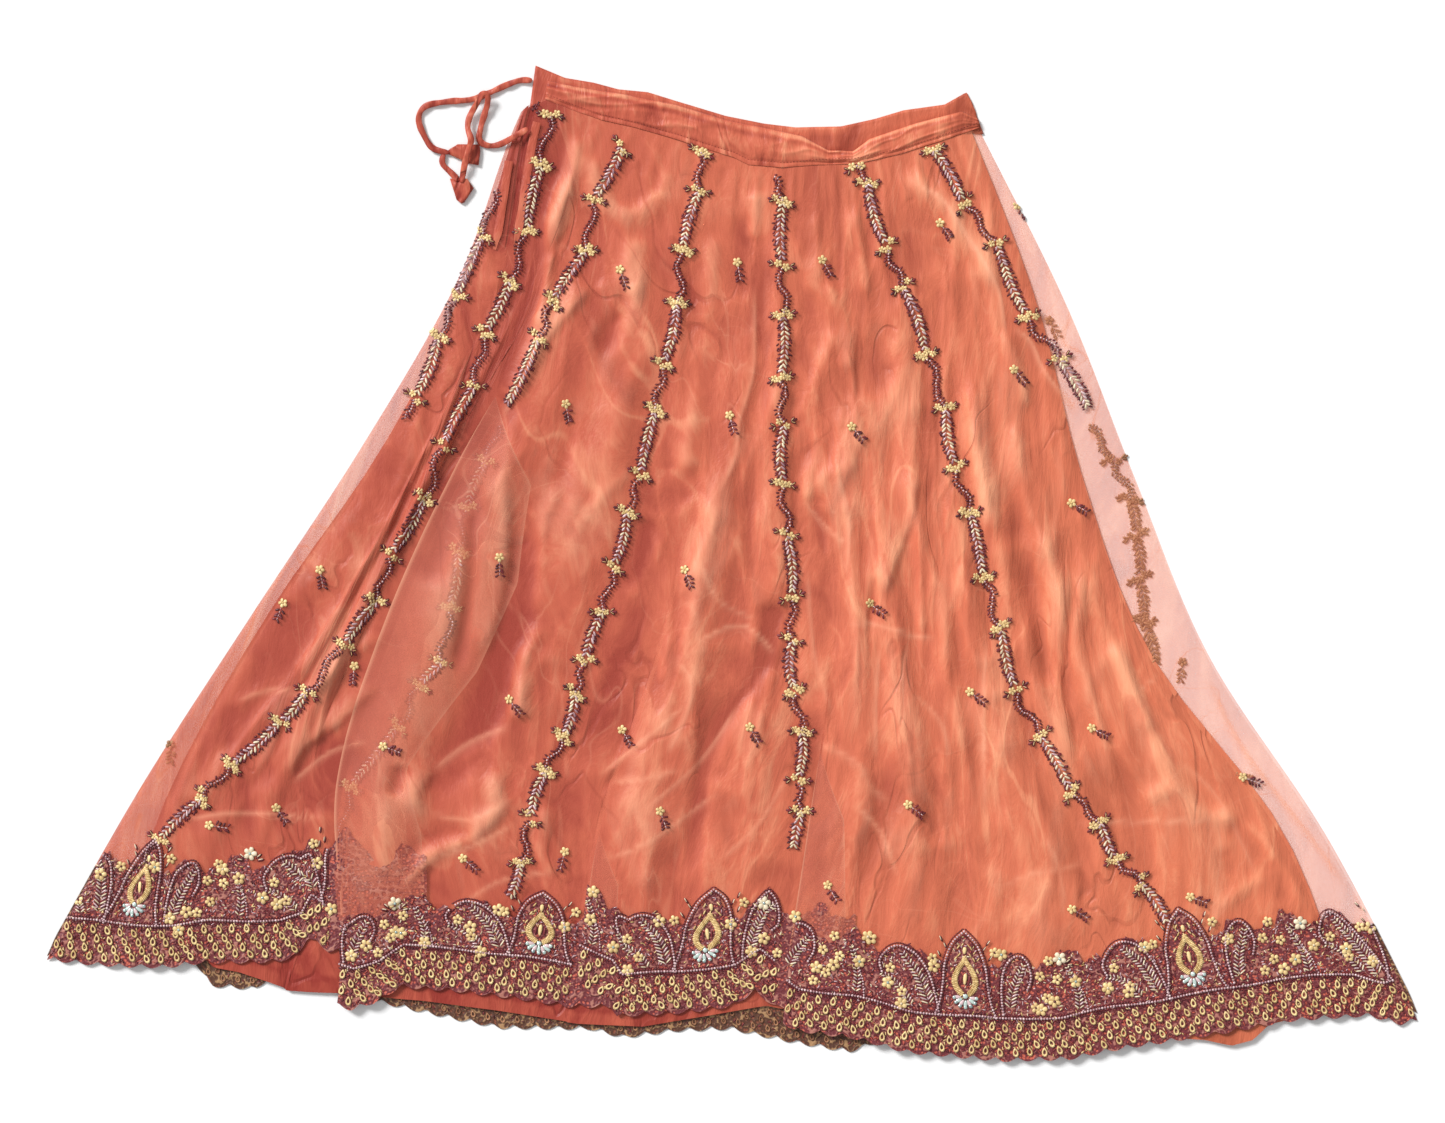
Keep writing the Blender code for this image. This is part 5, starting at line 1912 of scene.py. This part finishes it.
    def build(self, front: Piece, net: Piece, back: Piece) -> None:
        """Work the border.

        Args:
            front: the front's ground.
            net: the front's net, which carries what stands above the ground.
            back: the back's ground.
        """
        ground = Ground([front, net])
        edge = Stitchwork("border_loops", "border_embroidery", ground)
        self.loops(edge)
        self.lower_lines(edge)
        edge.finish()
        motifs = Stitchwork("border_motifs", "border_embroidery", ground)
        for panel in self.border.overlay.panels():
            for middle in self.border.arches(panel):
                self.arch(motifs, panel, middle)
                self.paisleys(motifs, panel, middle)
        motifs.finish()
        blooms = Stitchwork("border_flowers", "border_embroidery", ground)
        self.flowers(blooms)
        blooms.finish()
        seeds = Stitchwork("border_seed_stitches", "border_embroidery", ground)
        self.seeds(seeds)
        seeds.finish()
        wrong = Stitchwork("border_reverse_stitches", "border_embroidery", Ground([back]))
        self.back_loops(wrong)
        wrong.finish()


@dataclass
class Vine:
    """An embroidered vine: knots of flowers joined by leafy sprays and beaded stems."""

    kinds: str
    knots: tuple[Point, ...]
    width: float = 14.0
    pitch: float = 5.2
    gold: Thread = Thread.GOLD
    leaf: Thread = Thread.SILVER
    outline: Thread = Thread.MAROON
    crowned: bool = False

    def _segments(self) -> list[tuple[Array, str]]:
        """The lines between knots and what is worked on them."""
        steps = 24
        share = np.linspace(0.0, 1.0, steps * len(self.kinds) + 1)
        fine = np.stack([catmull([knot[axis] for knot in self.knots], share) for axis in (0, 1)], axis=1)
        return [(fine[steps * index :][: steps + 1], kind) for index, kind in enumerate(self.kinds)]

    def spray(self, work: Stitchwork, line: Array, swing: float) -> None:
        """Pairs of leaves like a feather on a bowed stalk, ragged with dark thread."""
        draw = work.chance.uniform
        bow = swing * draw(1.5, 3.4) * np.sin(math.pi * np.linspace(0.0, 1.0, len(line)))
        even = resample(aside(line, bow), self.pitch * 0.92)
        for step, ((x, y), turn) in enumerate(zip(even[:-1], directions(even)[:-1])):
            full = self.width * (0.62 + 0.38 * math.sin(math.pi * min(1.0, (step + 0.7) / len(even)) ** 0.8))
            for side in (-1, 1):
                across = turn + side * math.pi / 2
                lean = turn + side * draw(0.50, 0.95)
                leaf = moved(x, y, (across, full * draw(0.13, 0.22)), (turn, draw(-0.9, 0.9)))
                thread = self.leaf if draw() < 0.5 else Thread.PALE
                if self.leaf is Thread.BROWN:
                    thread = Thread.BROWN
                long = draw(5.4, 7.4)
                work.add(Form.PETAL, thread, *leaf, lean, long, 2.5, 1.9, 0.5, draw(0.1, 1.0))
                for reach, long in ((0.34, 5.8), (0.46, 4.6)):
                    away = full * (reach + draw(-0.06, 0.07))
                    tip = moved(x, y, (across, away), (turn, draw(-1.6, 2.8)))
                    lean = turn + side * draw(0.2, 1.7)
                    work.add(Form.SEED, self.outline, *tip, lean, long, 2.1, 1.5, 0.1)

    def stem(self, work: Stitchwork, line: Array, swing: float) -> None:
        """A winding stem: a row of silver beads between two rough dark strands."""
        draw = work.chance.uniform
        length = float(np.linalg.norm(np.diff(line, axis=0), axis=1).sum())
        wave = np.sin(2 * math.pi * np.linspace(0.0, 1.0, len(line)))
        even = resample(aside(line, swing * min(4.6, 0.10 * length) * wave), 3.3)
        for (x, y), turn in zip(even, directions(even)):
            x, y = moved(x, y, (turn + math.pi / 2, draw(-0.8, 0.8)))
            work.add(Form.BEAD, self.leaf, x, y, turn, 2.5, 2.3, 2.1, 0.7)
            for side in (-1, 1):
                strand = moved(x, y, (turn + side * math.pi / 2, draw(1.7, 3.6)))
                lean = turn + side * draw(0.3, 1.9)
                work.add(Form.SEED, self.outline, *strand, lean, draw(3.6, 6.0), 2.3, 1.7, 0.1)

    def knot(self, work: Stitchwork, x: float, y: float, turn: float) -> None:
        """Small flowers side by side across the vine, with dark forked leaves at each end."""
        draw = work.chance.uniform
        across = turn + math.pi / 2 + draw(-0.45, 0.45)
        count = int(work.chance.integers(2, 5))
        pitch = (8.2, 6.2, 4.8)[count - 2]
        for number in range(count):
            place = (number - (count - 1) / 2) * pitch
            flower = moved(x, y, (across, place), (turn, (2 * (number % 2) - 1) * draw(0.3, 3.6)))
            work.flower(*flower, draw(3.6, 4.9), draw(0, 6), self.gold, self.gold)
        for way in (across + math.pi, across):
            for fork in (-1, 0, 1):
                lean = way + fork * 0.62 + draw(-0.2, 0.2)
                leaf = moved(x, y, (way, 8.2 if fork else 9.6), (lean, 3.2))
                work.add(Form.PETAL, self.outline, *leaf, lean, 7.0, 2.9, 1.6, 0.1)
                if fork:
                    work.add(Form.SEED, self.gold, *leaf, lean, 5.2, 0.9, 1.2, 1.1, 0.5)

    def work(self, work: Stitchwork) -> None:
        """Put the whole vine on the cloth."""
        swing = 1.0
        for number, (line, kind) in enumerate(self._segments()):
            if kind == "S":
                self.spray(work, line[2:-1], swing)
            elif kind == "T":
                self.stem(work, line[2:-1], swing)
                swing = -swing
            if number or self.crowned:
                turn = math.atan2(line[2][1] - line[0][1], line[2][0] - line[0][0])
                self.knot(work, float(line[0][0]), float(line[0][1]), turn)

    def build(self, name: str, ground: Ground, nodes: Sequence[str] = ()) -> Piece:
        """Make the vine's piece.

        Args:
            name: of the piece.
            ground: the cloth that carries it.
            nodes: solids that it stands for.

        Returns:
            The piece.
        """
        stitches = Stitchwork(name, "vine_embroidery", ground)
        self.work(stitches)
        return stitches.finish(nodes)


@dataclass
class Sprigs:
    """Small flowers with a dark leafy twig, scattered between the vines."""

    places: tuple[tuple[float, float, int], ...]
    faded: bool = False
    length: float = 15.0

    def build(self, name: str, ground: Ground) -> Piece:
        """Make the sprigs' piece."""
        work = Stitchwork(name, "vine_embroidery", ground)
        draw = work.chance.uniform
        gold, dark, bead = (Thread.BROWN,) * 3 if self.faded else (Thread.GOLD, Thread.MAROON, Thread.SILVER)
        for x, y, degrees in self.places:
            turn = math.radians(degrees)
            work.flower(x, y, 5.0, turn, gold, gold)
            for step in range(4):
                away = 6.5 + self.length * step / 4
                for side in (-1, 1):
                    lean = turn + side * draw(0.6, 1.3)
                    leaf = moved(x, y, (turn, away), (lean, draw(2.4, 4.2)))
                    work.add(Form.PETAL, dark, *leaf, lean, 6.0 - 0.4 * step, 2.5, 1.5, 0.1)
                work.add(Form.SEED, bead, *moved(x, y, (turn, away)), turn, 3.4, 1.3, 1.5, 0.5)
        return work.finish()


@dataclass
class Waistband:
    """The gathered satin waistband: a flat back run and a wrinkled front run with its topstitch."""

    height: float = 43.0
    back_level: float = 1.6
    front_level: float = 4.4
    stitch_above_seam: float = 6.0
    # x where the back run gets a painted shadow, where it shows above a dip in the front run's top edge.
    painted_shadow: float = 110.0
    seam_left: float = -197.0
    seam_right: float = 259.0
    crumples: tuple[Crumple, ...] = (Crumple(21, 60, 21, 1.1), Crumple(22, 26, 12, 0.6))
    wrinkles: tuple[tuple[float, float, float, float], ...] = (
        (-172, -166, 8, 1.6), (-150, -138, 9, 2.0), (-128, -124, 7, 1.4), (-112, -98, 9, 2.0),
        (-84, -80, 7, -1.3), (-66, -50, 10, 2.4), (-36, -34, 7, 1.6), (-16, -4, 9, 2.1),
        (14, 12, 8, -1.6), (30, 46, 10, 2.6), (60, 58, 8, 2.0), (78, 92, 10, 2.8), (104, 100, 9, -2.0),
        (118, 132, 11, 3.2), (150, 146, 8, 1.8), (168, 182, 10, 2.4), (196, 196, 8, 1.6), (214, 226, 9, 2.0),
        (240, 242, 7, 1.2),
    )

    def _front(self, across: Array, down: Array) -> Points:
        """Place of the front run's points."""
        top_x = FRONT_BAND_TOP[0][0] + (FRONT_BAND_TOP[-1][0] - FRONT_BAND_TOP[0][0]) * across
        seam_x = self.seam_left + (self.seam_right - self.seam_left) * across
        x = top_x + (seam_x - top_x) * down
        top_y, seam_y = line_at(FRONT_BAND_TOP, top_x), line_at(FRONT_SEAM, seam_x)
        y = top_y + (seam_y - top_y) * down
        wave = np.zeros_like(x)
        for top, foot, width, full in self.wrinkles:
            middle = top + (foot - top) * down
            wave += 0.5 * full * peak(x - middle, width)
        for crumple in self.crumples:
            wave += crumple.at(x + 60.0 * down, self.height * down)
        # Painted shade following the wrinkles: darker in their troughs, lighter on their crests.
        shade = 0.42 + 0.075 * wave
        ruffle = 0.25 * lattice(x / 3.0, 3.0 * down, 8)
        bulge = np.sin(math.pi * np.clip(0.08 + 0.86 * down, 0.0, 1.0))
        pinch = 0.9 * peak((1.0 - down) * self.height - self.stitch_above_seam, 1.6)
        z = self.front_level + 1.6 * bulge + wave * (0.25 + 0.75 * bulge) + ruffle - pinch
        rolled = smoothstep(0.0, 0.05, down)
        z = 2.2 + (z - 2.2) * rolled
        # Painted highlight along the rolled top edge and painted shadow just below it.
        shade = shade + 0.22 * peak(down - 0.10, 0.07) - 0.25 * peak(down - 0.24, 0.07)
        return x, y, z, x, y, 0.0 * x, np.clip(shade, 0.0, 1.0)

    def _back(self, across: Array, down: Array) -> Points:
        """Place of the back run's points."""
        left, right = BACK_BAND_TOP[0][0], BACK_BAND_TOP[-2][0] + 6.0
        x = left + (right - left) * across
        top_y = line_at(BACK_BAND_TOP, x)
        foot = np.maximum(top_y - self.height, 452.0 * (across > 0.97))
        y = top_y + (foot - top_y) * down
        x = x + 12.0 * down * smoothstep(0.97, 1.0, across)
        x = x - 6.0 * down * (1.0 - smoothstep(0.0, 0.03, across))
        wave = sum(crumple.at(x + 30.0, self.height * down + 90.0) for crumple in self.crumples)
        z = self.back_level + 0.6 * wave * np.sin(math.pi * np.clip(down, 0.0, 1.0))
        # Painted shadow where the back run shows above the dip in the front run's top edge, and painted shade
        # following its crumples.
        painted_shadow = peak(x - self.painted_shadow, 40.0) * smoothstep(0.05, 0.30, down)
        shade = np.clip(0.42 + 0.08 * wave - 0.45 * painted_shadow, 0.0, 1.0)
        return x, y, z, x, y, 0.0 * x, shade

    def build(self) -> None:
        """Make both runs and the row of stitches above the seam."""
        front = cloth_mesh("band_front", np.linspace(0, 1, 300), np.linspace(0, 1, 34), self._front)
        back = cloth_mesh("band_back", np.linspace(0, 1, 160), np.linspace(0, 1, 14), self._back)
        run = new_piece("waistband_front_run", front, "satin", ("waistband_front",), SATIN)
        thicken(run, 1.4)
        other = new_piece("waistband_back_run", back, "satin", ("waistband_back",), SATIN)
        thicken(other, 1.2)
        stitches = Stitchwork("waist_topstitch", "satin", Ground([run]))
        xs = np.linspace(self.seam_left + 3, self.seam_right - 3, 260)
        line = np.stack([xs, line_at(FRONT_SEAM, xs) + self.stitch_above_seam], axis=1)
        stitches.chain(line, Thread.RED, 3.4, 0.7, 0.6, 0.0, Form.SEED, 2.4)
        stitches.finish()


@dataclass
class Placket:
    """The faced opening at the waist: a strip of satin along each edge of the slit, and its beads."""

    width: float = 8.4

    def _strip(self, name: str, line: Array, ground: Ground, node: str) -> Piece:
        """One strip laid along a line.

        Args:
            name: of the piece.
            line: plan points of its middle.
            ground: the cloth under it.
            node: the solid that it stands for.

        Returns:
            The strip.
        """
        even = resample(line, 3.0)
        turns = directions(even)
        heights = []
        for x, y in even:
            spot = ground.at(x, y)
            heights.append(6.0 if spot is None else spot[0] / MM)
        smooth = np.convolve(np.pad(heights, 3, mode="edge"), np.ones(7) / 7, mode="valid")

        def place(across: Array, down: Array) -> Points:
            """Place of the strip's points."""
            step = down * (len(even) - 1)
            index = range(len(even))
            x = np.interp(step, index, even[:, 0])
            y = np.interp(step, index, even[:, 1])
            turn = np.interp(step, index, turns)
            narrow = 1.0 - 0.55 * smoothstep(0.80, 1.0, down)
            off = (across - 0.5) * self.width * narrow * (1.0 + 0.10 * lattice(step / 6.0, 0.0 * step, 9))
            rise = 1.0 - 1.3 * smoothstep(0.86, 1.0, down)
            rounded = np.sqrt(np.clip(1 - (2 * across - 1) ** 2, 0, 1))
            z = np.interp(step, index, smooth) + rise * (0.8 + 0.5 * rounded)
            z = z + 0.6 * lattice(step / 5.0, across * 1.5, 5)
            return x - np.sin(turn) * off, y + np.cos(turn) * off, z, off, step * 3.0, 0.0 * x

        mesh = cloth_mesh(name, np.linspace(0, 1, 9), np.linspace(0, 1, len(even) * 2), place)
        return new_piece(name, mesh, "satin", (node,), SATIN)

    def build(self, ground: Ground) -> None:
        """Make both strips and the beads at the top of the opening."""
        shares = np.linspace(0.02, SLIT_SHARE, 12)
        right = np.stack(Fan().at(np.full(12, SLIT), shares), axis=1) + np.array([10.5, 0.0])
        self._strip("placket_front_strip", right, ground, "placket_front")
        left = np.stack(Fan().at(np.full(12, SLIT), np.linspace(0.065, SLIT_SHARE, 12)), axis=1)
        self._strip("placket_back_strip", left + np.array([-10.5, 0.0]), ground, "placket_back")
        work = Stitchwork("placket_beads", "vine_embroidery", ground)
        chance = work.chance
        for _ in range(26):
            x, y = chance.normal(-207, 2.6), chance.normal(484, 5.0)
            work.add(Form.SEED, Thread.MAROON, x, y, chance.uniform(0, 3), 4.0, 1.8, 1.6, 0.4)
        work.finish()


@dataclass
class Drawstring:
    """The satin string that closes the waist: its two free ends, folded flat, with leaf-shaped cloth ends."""

    width: float = 7.0
    thickness: float = 2.4
    step: float = 4.0

    def _ribbon(self, node: str, route: Array) -> Piece:
        """A soft flattened tube along a route.

        Args:
            node: the solid that it stands for.
            route: points of its middle, in millimetres.

        Returns:
            The string's object.
        """
        count = len(route)
        sides = 10
        ahead = np.gradient(route, axis=0)
        bm = bmesh.new()
        bmesh.ops.create_grid(bm, x_segments=sides, y_segments=count - 1, size=1.0)
        for vert in bm.verts:
            angle = (vert.co.x + 1.0) * math.pi
            index = round((vert.co.y + 1.0) / 2.0 * (count - 1))
            along = Vector(ahead[index]).normalized()
            side = Vector((-along.y, along.x, 0.0)).normalized()
            up = along.cross(side).normalized()
            sway = 0.30 * math.sin(index * 1.3) + 0.2 * math.sin(index * 2.9)
            narrow = 1.0 + 0.10 * math.sin(index * 0.9 + 1.0)
            narrow *= 0.55 if index in (0, count - 1) else 1.0
            turned_side = side * math.cos(sway) + up * math.sin(sway)
            turned_up = up * math.cos(sway) - side * math.sin(sway)
            off = turned_side * (0.5 * math.cos(angle) * self.width * narrow)
            off += turned_up * (0.5 * math.sin(angle) * self.thickness)
            vert.co = (Vector(route[index]) + off) * MM
        bmesh.ops.remove_doubles(bm, verts=bm.verts, dist=1e-6)
        bmesh.ops.holes_fill(bm, edges=bm.edges, sides=0)
        bmesh.ops.recalc_face_normals(bm, faces=bm.faces)
        mesh = mesh_of(bm, node)
        corner = np.empty(len(mesh.loops), dtype=np.int32)
        mesh.loops.foreach_get("vertex_index", corner)
        co = np.empty(len(mesh.vertices) * 3)
        mesh.vertices.foreach_get("co", co)
        layer = mesh.uv_layers.new(name="cloth")
        layer.data.foreach_set("uv", co.reshape(-1, 3)[corner][:, :2].ravel())
        self._shade(mesh)
        piece = new_piece(f"{node}_ribbon", mesh, "drawstring_satin", (node,), SATIN)
        rounder = piece.modifiers.new("soft", "SUBSURF")
        rounder.levels = rounder.render_levels = 1
        return piece

    def _shade(self, mesh: Mesh) -> None:
        """Paint light and shade along the string: bands of the crest value, darker and lighter like creases.
        """
        crest = mesh.attributes.new("crest", "FLOAT", "POINT")
        heights = np.array([math.sin(vert.co.x * 900.0 + vert.co.y * 500.0) for vert in mesh.vertices])
        crest.data.foreach_set("value", (0.40 + 0.14 * heights).astype(np.float32))

    def _leaf(self, node: str, outline: Sequence[Point]) -> Piece:
        """A leaf-shaped end of folded cloth."""
        bm = bmesh.new()
        face = bm.faces.new([bm.verts.new((x * MM, y * MM, 0.0004)) for x, y in outline])
        inner = bmesh.ops.inset_region(bm, faces=[face], thickness=0.0035, depth=0.0)["faces"]
        for vert in {vert for part in bm.faces for vert in part.verts}:
            vert.co.z = 0.0024 if all(part in [*inner, face] for part in vert.link_faces) else 0.0012
        bmesh.ops.triangulate(bm, faces=[part for part in bm.faces if len(part.verts) > 4])
        bmesh.ops.subdivide_edges(bm, edges=bm.edges[:], cuts=2, use_grid_fill=True)
        middle = Vector((0.0, 0.0, 0.0))
        for vert in bm.verts:
            middle += vert.co
        middle /= len(bm.verts)
        for vert in bm.verts:
            reach = (vert.co.xy - middle.xy).length
            vert.co.z += 0.0005 * math.sin(vert.co.x * 700.0) + 0.0004 * math.cos(reach * 900.0)
        bmesh.ops.recalc_face_normals(bm, faces=bm.faces)
        mesh = mesh_of(bm, node)
        layer = mesh.uv_layers.new(name="cloth")
        for loop in mesh.loops:
            layer.data[loop.index].uv = mesh.vertices[loop.vertex_index].co.xy
        self._shade(mesh)
        piece = new_piece(f"{node}_cloth", mesh, "drawstring_satin", (node,), SATIN)
        thicken(piece, 1.6, 0.0)
        return piece

    def build(self) -> None:
        leaves = {node: self._leaf(node, outline) for node, outline in LEAVES.items()}
        tail = self._ribbon("tie_tail", smooth_line(STRING_ROUTES["tie_tail"], self.step))
        for name, carried in (("tie_upper", [leaves["leaf_1"]]), ("tie_lower", [leaves["leaf_2"], tail])):
            route = smooth_line(STRING_ROUTES[name], self.step)
            piece = self._ribbon(name, route)
            length = float(np.linalg.norm(np.diff(route, axis=0), axis=1).sum()) * MM
            LOG.info("%s is %.3f m long", name, length)
            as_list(carried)


@dataclass
class Studio:
    """Floor, light and camera."""

    lens: float = 85.0
    sensor: float = 36.0
    focus_height: float = 0.006
    key_strength: float = 3.7
    key_angle: float = 18.0
    fill: float = 0.52

    def camera(self) -> None:
        """Look straight down on the laid skirt."""
        data = bpy.data.cameras.new("camera")
        data.lens = self.lens
        data.sensor_width = self.sensor
        data.clip_end = 20.0
        away = PHOTO_WIDTH * PHOTO_PIXEL * MM * self.lens / self.sensor
        eye = bpy.data.objects.new("camera", data)
        eye.location = (PHOTO_CENTRE[0] * MM, PHOTO_CENTRE[1] * MM, self.focus_height + away)
        bpy.context.scene.collection.objects.link(eye)
        bpy.context.scene.camera = eye

    def light(self) -> None:
        """A soft light from the upper left, an even one from all round, and a pale floor."""
        key = bpy.data.lights.new("key", "SUN")
        key.energy = self.key_strength
        key.angle = math.radians(self.key_angle)
        lamp = bpy.data.objects.new("key", key)
        lamp.rotation_euler = Vector((0.60, -0.56, -0.60)).to_track_quat("-Z", "Y").to_euler()
        bpy.context.scene.collection.objects.link(lamp)
        world = bpy.data.worlds.new("studio")
        world.use_nodes = True
        around = world.node_tree.nodes["Background"].inputs
        around["Color"].default_value = (1.0, 1.0, 1.0, 1.0)
        around["Strength"].default_value = self.fill
        bpy.context.scene.world = world
        bpy.context.scene.view_settings.view_transform = "Standard"
        bm = bmesh.new()
        bmesh.ops.create_grid(bm, x_segments=1, y_segments=1, size=6.0)
        bmesh.ops.translate(bm, verts=bm.verts, vec=(0.0, 0.0, -0.0005))
        new_object("floor", mesh_of(bm, "floor"), FloorFinish(), smooth=False)


def main() -> None:
    """Build and dress the skirt, piece by piece."""
    logging.basicConfig(level=logging.INFO, format="%(message)s")
    studio = Studio()
    studio.camera()
    Drawstring().build()
    LOG.info("drawstring done")

    drapery = Drapery()
    lining = Lining(drapery).build()
    overlay = NetOverlay(drapery)
    net_front, net_back = overlay.build()
    border = HemBorder(drapery, overlay)
    border_front, border_back = border.build()
    LOG.info("cloth done")

    top = Ground([net_front, border_front, lining])
    for name, vine in VINES.items():
        Vine(*vine, crowned=name not in ("vine_1", "vine_5")).build(f"{name}_stitches", top, (name,))
    below = Ground([net_back])
    faded = Vine(*BACK_VINE, width=11.0, gold=Thread.BROWN, leaf=Thread.BROWN, outline=Thread.BROWN)
    faded.build("vine_7_back_stitches", below)
    under = Ground([lining])
    Vine(*HIDDEN_VINE).build("vine_3_covered_stitches", under)
    Sprigs(SPRIGS).build("scattered_sprigs", top)
    Sprigs(BACK_SPRIGS, faded=True).build("back_sprigs", below)
    BorderWork(border).build(border_front, net_front, border_back)
    LOG.info("embroidery done")

    Waistband().build()
    Placket().build(top)
    studio.light()


if __name__ == "__main__":
    main()
